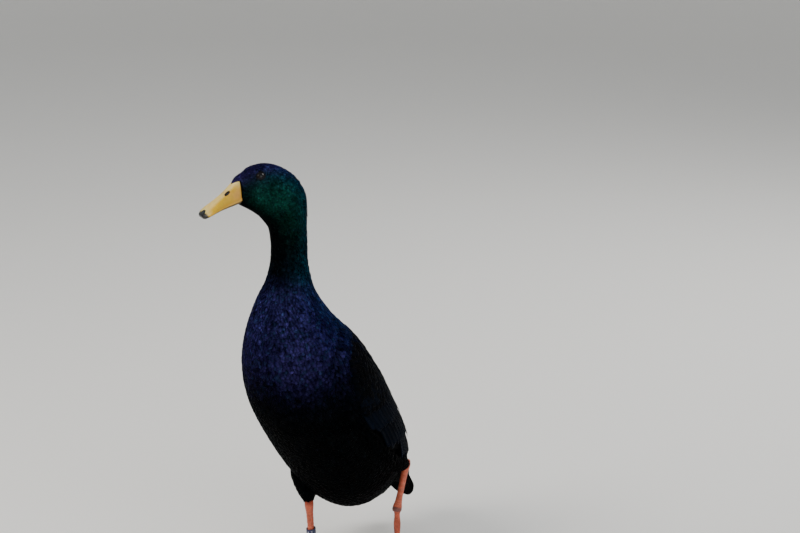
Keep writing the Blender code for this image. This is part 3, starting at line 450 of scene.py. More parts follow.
def join(name, pieces):
    """Joins pieces into the first of them and names it."""
    select_only(pieces[0])
    for other in pieces[1:]:
        other.select_set(True)
    bpy.ops.object.join()
    pieces[0].name = pieces[0].data.name = name
    return pieces[0]


def ball(name, radius, segments, rows):
    """A round ball about the origin, in metres, with its poles on its Z axis."""
    points = [(0.0, 0.0, radius), (0.0, 0.0, -radius)]
    for i in range(1, rows):
        down = math.pi * i / rows
        points += [(radius * math.sin(down) * math.cos(a), radius * math.sin(down) * math.sin(a),
                    radius * math.cos(down)) for a in turns(segments)]
    faces = []
    for j in range(segments):
        k = (j + 1) % segments
        faces.append((0, 2 + j, 2 + k))
        for low in range(2, 2 + (rows - 2) * segments, segments):
            faces.append((low + j, low + segments + j, low + segments + k, low + k))
        last = 2 + (rows - 2) * segments
        faces.append((1, last + k, last + j))
    mesh = bpy.data.meshes.new(name)
    mesh.from_pydata(points, [], faces)
    return new_object(name, mesh)


def place_piece(obj, slot, *nodes):
    """Hangs a piece on the still body and hides the solids it stands for."""
    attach(obj, "root")
    if nodes:
        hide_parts(*nodes)
    return obj


# --- materials --------------------------------------------------------------------------------------

GLOSSY = "glossy black feather"
SOFT = "soft black feather"
FLIGHT = "black flight feather"
DOWN = "black down"
NAIL_HORN = "nail horn"
SLOTS = {GLOSSY: "glossy_plumage", SOFT: "plumage", FLIGHT: "plumage", DOWN: "plumage"}


def feed(mat, made, inputs):
    """Sets a node's inputs: a value goes onto the socket, another node's output is linked to it."""
    for key, value in inputs.items():
        if isinstance(value, bpy.types.NodeSocket):
            mat.node_tree.links.new(value, made.inputs[key])
        else:
            made.inputs[key].default_value = value


def node(mat, kind, inputs=None, **properties):
    """Adds a shader node with its properties and its inputs."""
    made = mat.node_tree.nodes.new("ShaderNode" + kind)
    for key, value in properties.items():
        setattr(made, key, value)
    feed(mat, made, inputs or {})
    return made


def new_material(name, constants):
    """A Principled material with its constants set on the shader's own sockets."""
    mat = bpy.data.materials.new(name)
    mat.use_nodes = True
    shader = mat.node_tree.nodes["Principled BSDF"]
    feed(mat, shader, constants)
    return mat, shader


def noise(mat, scale, detail, roughness=0.5):
    """A grain from 0 to 1 that is fixed to the piece."""
    place = node(mat, "TexCoord")
    return node(mat, "TexNoise", {"Vector": place.outputs["Object"], "Scale": scale, "Detail": detail,
                                  "Roughness": roughness}).outputs["Fac"]


def work_out(mat, operation, *values):
    """One step of arithmetic with numbers and other nodes' outputs."""
    return node(mat, "Math", dict(enumerate(values)), operation=operation).outputs[0]


def spread(mat, value, low, high, value_low=0.0, value_high=1.0):
    """Brings a value from its own span to the span from low to high."""
    return node(mat, "MapRange", {"Value": value, "From Min": value_low, "From Max": value_high,
                                  "To Min": low, "To Max": high}).outputs[0]


def scaled(mat, colour, level):
    return node(mat, "VectorMath", {0: colour, "Scale": level}, operation="SCALE").outputs[0]


def two_tone(mat, value, low, high, low_until=0.0):
    """A colour from low to high by a value."""
    ramp = node(mat, "ValToRGB", {0: value})
    stops = ramp.color_ramp.elements
    stops[0].position = low_until
    stops[0].color = (*low, 1.0)
    stops[1].color = (*high, 1.0)
    return ramp.outputs[0]


def times(colour, factor):
    return [c * factor for c in colour]


def relief(mat, height, strength, depth):
    return node(mat, "Bump", {"Height": height, "Strength": strength, "Distance": depth}).outputs[0]


def painted(mat):
    """The colours that paint stored."""
    return node(mat, "Attribute", attribute_name="tint").outputs


def feather_material(name, barb, metallic, rough, glow):
    """Feather keratin: melanin makes it black, and thin layers in the barbules give a coloured sheen.

    The eye sees a dark body whose gloss is coloured, so the colour sits in a half metallic base. barb is
    the spacing of the barbs in millimetres, wider than the real 0.3 mm so that they show.
    """
    mat, shader = new_material(name, {"Metallic": metallic, "Specular IOR Level": 0.12,
                                      "Specular Tint": (0.06, 0.08, 0.12, 1.0)})
    tint = painted(mat)
    vane = node(mat, "SeparateXYZ", {0: node(mat, "UVMap", uv_map="Vane").outputs[0]}).outputs
    # The barbs slant forward from the shaft on both sides.
    slant = work_out(mat, "MULTIPLY_ADD", work_out(mat, "ABSOLUTE", vane[0]), -0.9, vane[1])
    barbs = work_out(mat, "SINE", work_out(mat, "MULTIPLY", slant, 2 * math.pi / barb))
    clumps = noise(mat, 75.0, 3.0, 0.6)
    fine = noise(mat, 700.0, 2.0)
    # Clumps of feathers are painted lighter or darker by glow, a painted sheen that mottles the gloss.
    painted_sheen = spread(mat, clumps, 1.0 - glow, 1.0 + glow, 0.3, 0.72)
    tip = spread(mat, tint["Alpha"], 0.35, 1.1, 0.15, 0.95)
    ribs = work_out(mat, "MULTIPLY_ADD", barbs, 0.16, 1.0)
    level = work_out(mat, "MULTIPLY", work_out(mat, "MULTIPLY", painted_sheen, tip), ribs)
    ridges = work_out(mat, "MULTIPLY_ADD", barbs, 0.5, fine)
    feed(mat, shader, {"Base Color": scaled(mat, tint["Color"], level),
                       "Roughness": spread(mat, fine, rough - 0.08, rough + 0.14),
                       "Normal": relief(mat, ridges, 0.5, 0.00022)})
    return mat


def down_material(colour):
    """Black down between the feathers: matt, with a short grain that shades it."""
    mat, shader = new_material(DOWN, {"Specular IOR Level": 0.04})
    grain = noise(mat, 420.0, 4.0)
    feed(mat, shader, {"Base Color": two_tone(mat, grain, times(colour, 0.4), times(colour, 1.6)),
                       "Roughness": spread(mat, grain, 0.75, 0.95),
                       "Normal": relief(mat, grain, 0.6, 0.0006)})
    return mat


def horn_material(name, rough, blotches, strength, subsurface=0.0, gloss=0.45):
    """Keratin of bill, nail or claw: satin, with a fine grain and faint blotches that make it look grown."""
    mat, shader = new_material(name, {"Specular IOR Level": gloss, "Subsurface Weight": subsurface,
                                      "Subsurface Scale": 0.0015})
    blotch = noise(mat, 260.0, 5.0, 0.6)
    level = spread(mat, blotch, 1.0 - blotches, 1.0 + blotches, 0.3, 0.7)
    height = work_out(mat, "ADD", blotch, noise(mat, 1400.0, 3.0))
    feed(mat, shader, {"Base Color": scaled(mat, painted(mat)["Color"], level),
                       "Roughness": spread(mat, blotch, rough - 0.08, rough + 0.12),
                       "Normal": relief(mat, height, strength, 0.0002)})
    return mat


def scale_material(name):
    """Scaled leg skin: thin horn over flesh, so light sinks in a little; small scales 1.4 mm across."""
    mat, shader = new_material(name, {"Specular IOR Level": 0.4, "Subsurface Weight": 0.12,
                                      "Subsurface Scale": 0.002})
    place = node(mat, "TexCoord")
    cells = node(mat, "TexVoronoi", {"Vector": place.outputs["Object"], "Scale": 700.0},
                 feature="DISTANCE_TO_EDGE")
    blotch = noise(mat, 190.0, 4.0)
    # The seams between the scales are darker. This is partly the skin's own colour in the grooves and partly
    # painted shade in them.
    seam = spread(mat, cells.outputs["Distance"], 0.55, 1.0, 0.0, 0.14)
    level = work_out(mat, "MULTIPLY", seam, spread(mat, blotch, 0.78, 1.18, 0.3, 0.7))
    feed(mat, shader, {"Base Color": scaled(mat, painted(mat)["Color"], level),
                       "Roughness": spread(mat, blotch, 0.34, 0.6),
                       "Normal": relief(mat, seam, 0.7, 0.0003)})
    return mat


def eye_material(settings):
    """Clear cornea over the iris: sharp reflections on a dark ball, brown only near the pupil."""
    mat, shader = new_material("wet eye", {"Roughness": 0.05, "IOR": 1.38})
    polar = node(mat, "Attribute", attribute_name="polar")
    at = work_out(mat, "MULTIPLY_ADD", noise(mat, 1500.0, 3.0), 0.02, polar.outputs["Fac"])
    ramp = node(mat, "ValToRGB", {0: at})
    stops = ramp.color_ramp.elements
    stops[0].position = 0.125
    stops[0].color = (*settings.pupil, 1.0)
    stops[1].position = 0.145
    stops[1].color = (*settings.iris, 1.0)
    for position, colour in ((0.23, settings.iris), (0.27, settings.pupil)):
        stops.new(position).color = (*colour, 1.0)
    feed(mat, shader, {"Base Color": ramp.outputs[0]})
    return mat


def ring_material(settings):
    """Injection moulded plastic, scuffed by the ground: satin with fine paler scratches."""
    mat, shader = new_material("moulded ring plastic", {"Specular IOR Level": 0.5})
    scuff = noise(mat, 900.0, 5.0)
    worn = [c * 1.8 + 0.01 for c in settings.ring]
    feed(mat, shader, {"Base Color": two_tone(mat, scuff, settings.ring, worn, 0.45),
                       "Roughness": spread(mat, scuff, 0.25, 0.55)})
    return mat


def ink_material(settings):
    """Printed ink: pale and slightly worn, so its strength varies."""
    mat, shader = new_material("printed numbers", {"Roughness": 0.5})
    worn = two_tone(mat, noise(mat, 1200.0, 3.0), times(settings.marks, 0.7), settings.marks)
    feed(mat, shader, {"Base Color": worn})
    return mat


def floor_material(settings):
    """Matt emulsion paint on board: almost flat, with a faint roller stipple."""
    mat, shader = new_material("matt floor paint", {"Roughness": 0.85, "Specular IOR Level": 0.2})
    stipple = two_tone(mat, noise(mat, 120.0, 3.0), times(settings.floor, 0.985), settings.floor)
    feed(mat, shader, {"Base Color": stipple})
    return mat


# --- small feathers ---------------------------------------------------------------------------------

# Share of the length and of the half width at a small feather's sections, and share of its thickness.
SMALL_SHAPE = ((0.30, 0.80, 1.0), (0.78, 0.86, 0.8))
BODY_SHAPE = ((0.22, 0.70, 1.0), (0.55, 1.00, 1.0), (0.84, 0.78, 0.8))
FEATHER_THICK = 0.16            # these two in thirds of the half width
FEATHER_DROOP = 0.12
SOON_FLAT = 2.4                 # how soon a feather lies flat behind its root
BAKE_PATCH = 0.003              # size of a feather's patch on the bake map
COAT_PATCH_WIDTH = 40.0         # millimetres across such a patch
VANE_PATCH_WIDTH = 12.0

# Gloss: colour, station, its spread, degrees round the body, their spread, strength.
GLOSS_ZONES = (
    ("violet", 2.6, 2.4, 0.0, 52.0, 1.2),
    ("green", 4.6, 2.6, 88.0, 40.0, 1.5),
    ("teal", 7.6, 2.4, 30.0, 40.0, 1.2),
    ("blue", 8.8, 3.2, 0.0, 26.0, 1.3),
    ("green", 8.0, 1.3, 80.0, 45.0, 0.25),
    ("black", 2.6, 2.6, 180.0, 52.0, 1.5),
    ("black", 1.2, 1.0, 90.0, 40.0, 0.8),
    ("black", 8.8, 2.8, 150.0, 70.0, 1.5),
    ("teal", 11.0, 1.2, 60.0, 60.0, 0.6),
    ("indigo", 12.6, 1.0, 130.0, 70.0, 0.9),
    ("indigo", 14.2, 1.3, 130.0, 60.0, 1.3),
    ("violet", 15.0, 1.1, 150.0, 40.0, 0.6),
    ("blue", 13.6, 1.8, 30.0, 40.0, 0.8),
    ("indigo", 16.2, 1.3, 50.0, 40.0, 0.25),
    ("black", 16.9, 1.8, 120.0, 90.0, 1.5),
    ("black", 15.3, 1.2, 180.0, 26.0, 0.8),
    ("black", 15.6, 1.0, 80.0, 30.0, 0.5),
    ("black", 16.5, 1.6, 30.0, 60.0, 0.5),
    ("black", 19.5, 2.4, 180.0, 120.0, 1.6),
    ("black", 25.0, 3.5, 90.0, 180.0, 1.2),
    ("blue", 19.0, 3.5, 20.0, 30.0, 0.25),
)
PLAIN_BLACK = 0.12              # strength of the black everywhere


def feather_coat(place, u, v, length, half, root_height, tip_height, turn, shape):
    """A mesh of many small closed feathers on a surface.

    place(u, v, height) is the surface; each feather's root is at its u and v, it lies along u, turned by
    its turn, and rises from root_height to tip_height. Returns points, faces, and the share of the length
    and the place on the vane of each point.
    """
    count = len(u)
    d = 0.01
    gu = (place(u + d, v, 0.0) - place(u - d, v, 0.0)) / (2 * d)
    gv = (place(u, v + d, 0.0) - place(u, v - d, 0.0)) / (2 * d)
    lean = np.sum(gv * unit(gu), -1)
    square = np.sqrt(np.maximum(np.sum(gv * gv, -1) - lean * lean, 1e-4))
    reach = np.maximum(np.linalg.norm(gu, axis=-1), 1.0)
    sections = [(0.0, ((0.0, 0.0),))]
    for share, wide, deep in shape:
        thick = FEATHER_THICK * deep
        sections.append((share, ((-wide, -FEATHER_DROOP), (0.0, thick), (wide, -FEATHER_DROOP),
                                 (0.0, -thick))))
    sections.append((1.0, ((0.0, -0.5 * FEATHER_DROOP),)))
    points, shares, vanes = [], [], []
    for share, corners in sections:
        for wide, up in corners:
            s = length * share
            r = half * wide
            ahead = s * np.cos(turn) - r * np.sin(turn)
            beside = s * np.sin(turn) + r * np.cos(turn)
            dv = beside / square
            du = (ahead - dv * lean) / reach
            rise = 1.0 - (1.0 - share) ** SOON_FLAT
            height = root_height + (tip_height - root_height) * rise + up * half / 3.0
            points.append(place(u + du, v + dv, height))
            shares.append(np.full(count, share))
            vanes.append(np.stack(np.broadcast_arrays(r, s, u)[:2], -1))
    faces = []
    last = 4 * (len(shape) - 1)
    for k in range(4):
        a = 1 + k
        b = 1 + (k + 1) % 4
        faces.append((0, b, a))
        for i in range(0, last, 4):
            faces.append((a + i, b + i, b + i + 4))
            faces.append((a + i, b + i + 4, a + i + 4))
        faces.append((a + last, b + last, last + 5))
    each = len(points)
    faces = np.array(faces)[None] + (np.arange(count) * each)[:, None, None]
    return (np.stack(points, 1).reshape(-1, 3), faces.reshape(-1, 3), np.stack(shares, 1).ravel(),
            np.stack(vanes, 1).reshape(-1, 2))


def feather_piece(name, parts, vane_width, finish, *nodes):
    """Feathers as one piece, from parts of (mesh, colours, places on the bake map).

    A part has a colour and a place for each of its feathers, all with the same number of points.
    vane_width is what a patch of the bake map is across, in millimetres.
    """
    points, faces, tints, shares, vanes, bakes = [], [], [], [], [], []
    start = 0
    for (part_points, part_faces, share, vane), tint, spots in parts:
        each = len(part_points) // len(tint)
        patch = BAKE_PATCH * np.stack([vane[:, 0] / vane_width, share - 0.5], -1)
        points.append(part_points)
        faces.append(part_faces + start)
        tints.append(np.repeat(tint, each, axis=0))
        shares.append(share)
        vanes.append(vane)
        bakes.append(np.repeat(spots, each, axis=0) + patch)
        start += len(part_points)
    obj = mesh_piece(name, np.concatenate(points), np.concatenate(faces), bpy.data.materials[finish])
    paint(obj, np.concatenate(tints), np.concatenate(shares))
    add_uv(obj, "Vane", np.concatenate(vanes))
    add_uv(obj, "OFBake", np.concatenate(bakes))
    return place_piece(obj, SLOTS[finish], *nodes)


def from_back(angle):
    """Radians from the middle of the back, on either side."""
    return np.abs((angle + math.pi) % (2 * math.pi) - math.pi)


def feather_tints(settings, u, angle, rng):
    """The colour of each feather's gloss from its place on the body, a little mixed and uneven."""
    a = np.degrees(from_back(angle))
    total = np.zeros((len(u), 3))
    weight = np.zeros(len(u))
    for colour, station, wide, turn, turn_wide, strength in GLOSS_ZONES:
        w = strength * np.exp(-((u - station) / wide) ** 2 - ((a - turn) / turn_wide) ** 2)
        total += w[:, None] * np.array(getattr(settings, colour))
        weight += w
    total += PLAIN_BLACK * np.array(settings.black)
    tint = total / (weight + PLAIN_BLACK)[:, None]
    mood = rng.random(len(u))[:, None]
    other = np.where(mood < 0.5, np.array(settings.violet), np.array(settings.teal))
    odd = (0.30 * rng.random(len(u)) ** 2)[:, None]
    level = tint.sum(1, keepdims=True) / np.maximum(other.sum(1, keepdims=True), 1e-6)
    tint = tint * (1 - odd) + other * level * odd
    # Each feather is made a little lighter or darker. This is partly its own tone and partly a painted sheen
    # of feathers that catch the light one by one.
    return tint * np.exp(rng.normal(0.0, 0.34, len(u)))[:, None]


def row_spacing(settings, u):
    """Millimetres between rows of feathers at a station."""
    face, neck, breast, belly = (settings.face_pitch, settings.neck_pitch, settings.breast_pitch,
                                 settings.belly_pitch)
    at = (0.0, 4.0, 8.0, 10.5, 13.0, 15.5, 19.0, 24.0)
    spacing = np.array((face, face * 1.15, face * 1.5, neck, neck * 1.25, breast, belly * 0.95, belly)) / MM
    return float(np.interp(u, at, spacing))


def coat_rows(settings, start, end, rng):
    """Station, angle and row spacing of feathers in staggered, slightly uneven rows."""
    us, angles, sizes = [], [], []
    u = start
    while u < end:
        size = row_spacing(settings, u)
        step = np.linalg.norm(body(u + 0.05, 1.6) - body(u - 0.05, 1.6)) / 0.1
        ring = body(np.full(65, u), np.linspace(0, 2 * math.pi, 65))
        count = max(8, int(np.linalg.norm(np.diff(ring, axis=0), axis=1).sum() / (size * 1.12)))
        stagger = 0.5 * (len(us) % 2)
        angles.append((np.arange(count) + stagger + rng.normal(0, 0.16, count)) / count * 2 * math.pi)
        us.append(u + rng.normal(0, 0.20, count) * size / step)
        sizes.append(np.full(count, size))
        u += size / step
    return np.maximum(np.concatenate(us), 0.05), np.concatenate(angles), np.concatenate(sizes)


def wing_distance(u, angle):
    """Millimetres from the folded wing's outline, negative inside it."""
    t = u - TRUNK
    a = np.degrees(from_back(angle))
    half = spline(BODY_RINGS, u)[..., 4]
    tall = np.linalg.norm(ring_points(u, 0 * u) - ring_points(u, 0 * u + math.pi), axis=-1) / 2
    radius = np.sqrt(half * tall)
    below = (a - curve(WING_FRONT, t)) * math.pi / 180 * radius
    above = (curve(WING_BACK, t) - a) * math.pi / 180 * radius
    before = (WING_FRONT[0][0] - t) * STATION_AT_WRIST
    behind = (t - WING_FRONT[-1][0]) * STATION_AT_TIPS
    return np.maximum(np.maximum(below, above), np.maximum(before, behind))


def coat_depth(u):
    """How far the skin lies under the feathers' tips."""
    return np.interp(u, (0, 5, 9, 13, 16, 24, 29), (0.5, 0.8, 1.1, 1.4, 1.7, 1.9, 1.4))


def wing_raise(u, angle):
    """How far the coat of the trunk rises to lap over the folded wing's edges."""
    near = smooth(1.0 - wing_distance(u, angle) / 15.0)
    tall = np.interp(u - TRUNK, (1.0, 2.0, 3.5, 9.0, 12.6, 13.5), (1.5, 4.6, 6.4, 5.0, 2.4, 0.6))
    return near * tall


# --- settings ---------------------------------------------------------------------------------------

def colour_setting(name, text, description):
    return bpy.props.FloatVectorProperty(name=name, description=description, subtype="COLOR", size=3,
                                         min=0.0, max=1.0, default=linear(text))


def size_setting(name, value, description):
    return bpy.props.FloatProperty(name=name, description=description, default=value * MM, unit="LENGTH",
                                   subtype="DISTANCE")


class PlumageSettings(bpy.types.PropertyGroup):
    """Colours of the feathers' gloss and spacing of the small feathers."""

    violet: colour_setting("Violet gloss", "#33285A", "Gloss of the forehead and of the middle of the breast")
    green: colour_setting("Green gloss", "#0F4A3B", "Gloss of the cheeks")
    teal: colour_setting("Teal gloss", "#10414E", "Gloss of the back of the head and of the neck")
    blue: colour_setting("Blue gloss", "#1A3358", "Gloss of the nape and the shoulders")
    indigo: colour_setting("Indigo gloss", "#292757", "Gloss of the lower neck and the breast")
    black: colour_setting("Black", "#080B0C", "Feathers without a coloured gloss")
    down: colour_setting("Down", "#030304", "Down and skin under the feathers")
    face_pitch: size_setting("Face feathers", 1.25, "Distance between rows of feathers on the face")
    neck_pitch: size_setting("Neck feathers", 2.2, "Distance between rows of feathers on the neck")
    breast_pitch: size_setting("Breast feathers", 3.2, "Distance between rows of feathers on the breast")
    belly_pitch: size_setting("Belly feathers", 4.1, "Distance between rows of feathers on the belly")


class HornSettings(bpy.types.PropertyGroup):
    """Colours of the bill, its nail and the claws."""

    yellow: colour_setting("Bill", "#D3A504", "Sides of the bill")
    # Culmen colour: a painted highlight on the ridge, the points at the root and the tip's upper side, and
    # also the real pale line along the bill's edge.
    highlight_and_edge_cream: colour_setting("Culmen", "#E6D389", "Ridge of the bill and its points beside the forehead")
    pink: colour_setting("Bill root", "#D49459", "Warm patch at the root of the bill")
    edge: colour_setting("Bill edge", "#D29005", "Lower edge of the bill")
    dark: colour_setting("Lower bill", "#4A4030", "Lower half of the bill")
    nail: colour_setting("Nail", "#080B10", "Nail at the tip of the bill")
    claw: colour_setting("Claws", "#1E1613", "Claws")


class LegSettings(bpy.types.PropertyGroup):
    """Colours of the legs and the ring."""

    scales: colour_setting("Leg", "#CE4E26", "Scaled skin of the legs and toes")
    # The pale colour is a painted highlight on the front of the shanks, lightest on each scute's raised edge.
    # The toes mix in a quarter of it all over.
    pale: colour_setting("Leg highlights", "#E88E72", "Paler scales on the front of the legs")
    dusky: colour_setting("Joints", "#6B2E26", "Dusky skin over the joints")
    web: colour_setting("Webs", "#7A4A44", "Skin between the toes")
    ring: colour_setting("Ring", "#1B2247", "Leg ring")
    marks: colour_setting("Ring marks", "#D9DCE6", "Plain numbers on the leg ring")


class EyeSettings(bpy.types.PropertyGroup):
    """Colours of the eyes."""

    iris: colour_setting("Iris", "#160D09", "Iris")
    pupil: colour_setting("Pupil", "#030304", "Pupil")
    lid: colour_setting("Lid", "#15161C", "Bare rim of the eyelids")


class StudioSettings(bpy.types.PropertyGroup):
    """Floor, backdrop and lights."""

    floor: colour_setting("Floor", "#F0EEE9", "Painted studio floor and backdrop")
    key: bpy.props.FloatProperty(name="Key light", description="Power of the main soft light", default=46.0,
                                 unit="POWER")
    fill: bpy.props.FloatProperty(name="Fill light", description="Power of the fill light", default=12.0,
                                  unit="POWER")
    rim: bpy.props.FloatProperty(name="Rim light", description="Power of the light from behind", default=26.0,
                                 unit="POWER")
    focal: bpy.props.FloatProperty(name="Focal length", description="Camera's focal length", default=87.75,
                                   unit="CAMERA")


# --- skin -------------------------------------------------------------------------------------------

THIGH_SHAPE = ((0.08, 8.6), (0.22, 12.2), (0.45, 16.0), (0.75, 19.0), (1.0, 20.0))  # share, half depth
THIGH_DOWN = -1.6               # where the down lies under the feathers' surface


def tube_place(stations):
    """A place(share, angle, height) over a round limb given as (point, across, deep, ahead) stations."""
    points, wide, deep, aheads = (np.array([s[k] for s in stations], float) for k in range(4))
    sizes = np.stack([wide, deep], -1)
    last = len(stations) - 1
    end_speed = last * np.linalg.norm(spline(points, last) - spline(points, last - 0.05)) / 0.05

    def place(share, angle, height=0.0):
        share, angle, height = np.broadcast_arrays(np.asarray(share, float), angle, height)
        t = np.clip(share, 0, 1) * last
        p = spline(points, t)
        axis = unit(spline(points, t + 0.02) - spline(points, t - 0.02))
        beyond = np.clip(share, 0, 1) - share
        p = p - axis * (beyond * end_speed)[..., None]
        size = spline(sizes, t) + height[..., None]
        ahead = spline(aheads, t)
        ahead = unit(ahead - axis * np.sum(ahead * axis, -1, keepdims=True))
        across = np.cross(axis, ahead)
        return (p + across * (size[..., 0] * np.cos(angle))[..., None]
                + ahead * (size[..., 1] * np.sin(angle))[..., None])

    return place


def leg_line(side):
    """Hock and ankle as points, and the way that the toes point."""
    hock, ankle, heading = LEGS[side]
    return np.array(hock), np.array(ankle), heading


def thigh_place(side):
    """The feathered lower leg from the knee down to just above the hock."""
    hock = leg_line(side)[0]
    knee = np.array(KNEES[side])
    low = hock + unit(knee - hock) * THIGH_SHOW[side]
    stations = [(low, 6.2, 6.6, (0, -1, 0))]
    for share, deep in THIGH_SHAPE:
        stations.append((low + (knee - low) * share, deep * 0.92, deep, (0, -1, 0)))
    return tube_place(stations[::-1])


def body_grid(last, rows, sides):
    """Stations and angles in a grid over the whole body."""
    return np.meshgrid(np.linspace(0.0, last, rows), turns(sides), indexing="ij")


def body_tree(height):
    """A search tree over the body's surface at a height."""
    t, angle = body_grid(TAIL_STATION + 2.0, 120, 48)
    points, faces = tube_mesh(body(t, angle, height))
    faces = outward(points, faces)
    return BVHTree.FromPolygons([tuple(p) for p in points], [tuple(int(i) for i in f) for f in faces])


def skin_map(points):
    """The skin's unwrap: round a line from tail to crown, and down from the crown."""
    around = np.arctan2(points[:, 0], points[:, 2] - points[:, 1] * 0.4 - 160) / (2 * math.pi)
    down = (points[:, 2] - points[:, 1] * 0.6) / 700
    return np.stack([0.5 + 0.9 * around, np.clip(down, 0, 1)], -1)


class DUCK_OT_skin(bpy.types.Operator):
    """One skin under the whole coat, from the bill's root to the tail, with both thighs"""

    bl_idname = "duck.skin"
    bl_label = "Skin"

    def execute(self, context):
        mat = down_material(context.scene.duck_plumage.down)
        t, angle = body_grid(TAIL_STATION + 1.6, 150, 72)
        skin = mesh_piece("skin", *tube_mesh(body(t, angle, eye_mound(t, angle) - coat_depth(t))), mat)
        for side in LEGS:
            share, angle = np.meshgrid(np.linspace(0.0, 0.985, 26), turns(32), indexing="ij")
            thigh = tube_mesh(thigh_place(side)(share, angle, THIGH_DOWN))
            cut(skin, mesh_piece("thigh", *thigh, mat), "UNION")
        skin.data.shade_smooth()
        add_uv(skin, "OFBake", skin_map(points_of(skin)))
        place_piece(skin, SLOTS[DOWN], "torso", "neck", "head", "thigh_left", "thigh_right")
        return {"FINISHED"}


# --- body coat --------------------------------------------------------------------------------------

# Coats along the body: first and last station, shape and finish of the feathers.
BODY_COATS = (
    ("coat_head", 0.0, 9.0, SMALL_SHAPE, GLOSSY),
    ("coat_neck", 9.0, 13.6, BODY_SHAPE, GLOSSY),
    ("coat_breast", 13.6, 18.0, BODY_SHAPE, GLOSSY),
    ("coat_belly", 18.0, 24.2, BODY_SHAPE, SOFT),
    ("coat_rump", 23.6, 28.2, BODY_SHAPE, SOFT),
)
COAT_LENGTH = 2.7               # length and half width of a feather, in distances between rows
COAT_HALF = 0.92
UNDER_WING = 5.0                # how far the coat goes on under the folded wing
RUMP_LIFT = 0.8                 # the rump's feathers are loose
NAPE_LIFT = 1.1                 # most that a ruffled feather of the nape stands off
BILL_ROOT_FEATHERS = 84
ALMOND = (5.6, 4.5)             # half length and half height of the lids' outline


def eye_spot():
    """Middle of the left eyeball and the way it looks, before the head is turned."""
    t, angle = np.meshgrid(np.linspace(1.0, 4.0, 121), np.radians(np.linspace(20.0, 90.0, 141)),
                           indexing="ij")
    p = body_straight(t, angle)
    off = (p[..., 1] - EYE_Y) ** 2 + (p[..., 2] - EYE_Z) ** 2
    at = np.unravel_index(np.argmin(off), off.shape)
    out = body_straight(t[at], angle[at], 1.0) - p[at]
    return p[at] - out * EYE_SINK, out


def eye_axes():
    """Forward and upward across the left eye."""
    tilt = BILL_PITCH * 0.6
    front = np.array((0.0, -math.cos(tilt), -math.sin(tilt)))
    front = unit(front - EYE_OUT * (front @ EYE_OUT))
    up = unit(np.cross(EYE_OUT, front))
    return front, up * np.sign(up[2])


EYE_MIDDLE, EYE_OUT = eye_spot()
EYE_FRONT, EYE_UP = eye_axes()


def by_eye(p):
    """Straight points as seen from the middle of the eye on their side."""
    return np.stack([np.abs(p[..., 0]), p[..., 1], p[..., 2]], -1) - EYE_MIDDLE


def from_eye(p):
    """Almond distance of straight points from the nearer eye: 1 on the rim of the lids."""
    p = by_eye(p)
    return np.hypot(p @ EYE_FRONT / ALMOND[0], p @ EYE_UP / ALMOND[1])


def eye_mound(u, angle):
    """How far skin and feathers rise round the lids, most over the eye as a brow."""
    p = body_straight(u, angle)
    far = from_eye(p)
    rim = smooth((2.3 - far) / 1.3) * smooth((far - 0.45) / 0.5)
    return rim * (1.0 + 0.9 * smooth(by_eye(p) @ EYE_UP / 5.0)) * (p[..., 2] > HEAD_FROM_Z)


def wedge_place(share, angle, height=0.0):
    """The point of feathers that runs down the bill's root, from its tip at 0 back to 1."""
    share, angle, height = np.broadcast_arrays(np.asarray(share, float), angle, height)
    forward, half, top, deep = np.moveaxis(spline(WEDGE[::-1], share * (len(WEDGE) - 1)), -1, 0)
    x = (half + height) * np.sin(angle)
    z = top - deep / 2 + (deep / 2 + height) * np.cos(angle)
    return bill_space(np.stack([x, forward, z], -1))


def ruffle(u, angle):
    """1 on the nape and the back of the neck, where the feathers stand up, and 0 elsewhere."""
    return np.exp(-from_back(angle) ** 2) * smooth((u - 3.5) / 2.0) * smooth((13.5 - u) / 2.0)


def bill_root_row(rng):
    """One more row of face feathers, over the bill's root, as body_coat's values."""
    ones = np.ones(BILL_ROOT_FEATHERS)
    length = rng.normal(2.3, 0.15, BILL_ROOT_FEATHERS)
    turn = rng.normal(0.0, 0.1, BILL_ROOT_FEATHERS)
    return 0.0 * ones, turns(BILL_ROOT_FEATHERS), length, 0.95 * ones, -2.0 * ones, 0.12 * ones, turn


def body_coat(settings, rng, name, start, end, shape, finish):
    """Feathers from one station of the body to another, clear of the wings and the eyes."""
    u, angle, size = coat_rows(settings, start, end, rng)
    keep = (wing_distance(u, angle) > -UNDER_WING) | (u < TRUNK)
    if name == "coat_head":
        keep &= from_eye(body_straight(u + 0.10, angle)) > 1.02
    u, angle, size = u[keep], angle[keep], size[keep]
    count = len(u)
    length = size * rng.normal(COAT_LENGTH, 0.18, count)
    half = size * rng.normal(COAT_HALF, 0.06, count)
    depth = coat_depth(u)
    on_trunk = u > TRUNK
    tip = 0.05 + on_trunk * wing_raise(u + 0.25, angle) + rng.normal(0.0, 0.08, count) * depth
    root = -depth - 0.15 + 0.8 * on_trunk * wing_raise(u - 0.1, angle)
    turn = rng.normal(0.0, 0.11, count)
    tip = tip + ruffle(u, angle) * rng.uniform(0.0, NAPE_LIFT, count) ** 2
    if name == "coat_rump":
        tip += RUMP_LIFT
    if name == "coat_head":
        # The feathers get shorter towards the eye.
        length *= 0.55 + 0.45 * np.clip(from_eye(body_straight(u, angle)) - 1.0, 0.0, 1.0)
        root += eye_mound(u, angle)
        tip += eye_mound(u + 0.12, angle)
        u, angle, length, half, root, tip, turn = np.concatenate(
            [(u, angle, length, half, root, tip, turn), bill_root_row(rng)], 1)
    made = feather_coat(body, u, angle, length, half, root, tip, turn, shape)
    tint = feather_tints(settings, u, angle, rng)
    around = 0.03 + 0.94 * (angle / (2 * math.pi) % 1.0)
    spots = np.stack([around, 0.03 + 0.94 * (u - start) / (end - start)], -1)
    feather_piece(name, [(made, tint, spots)], COAT_PATCH_WIDTH, finish)


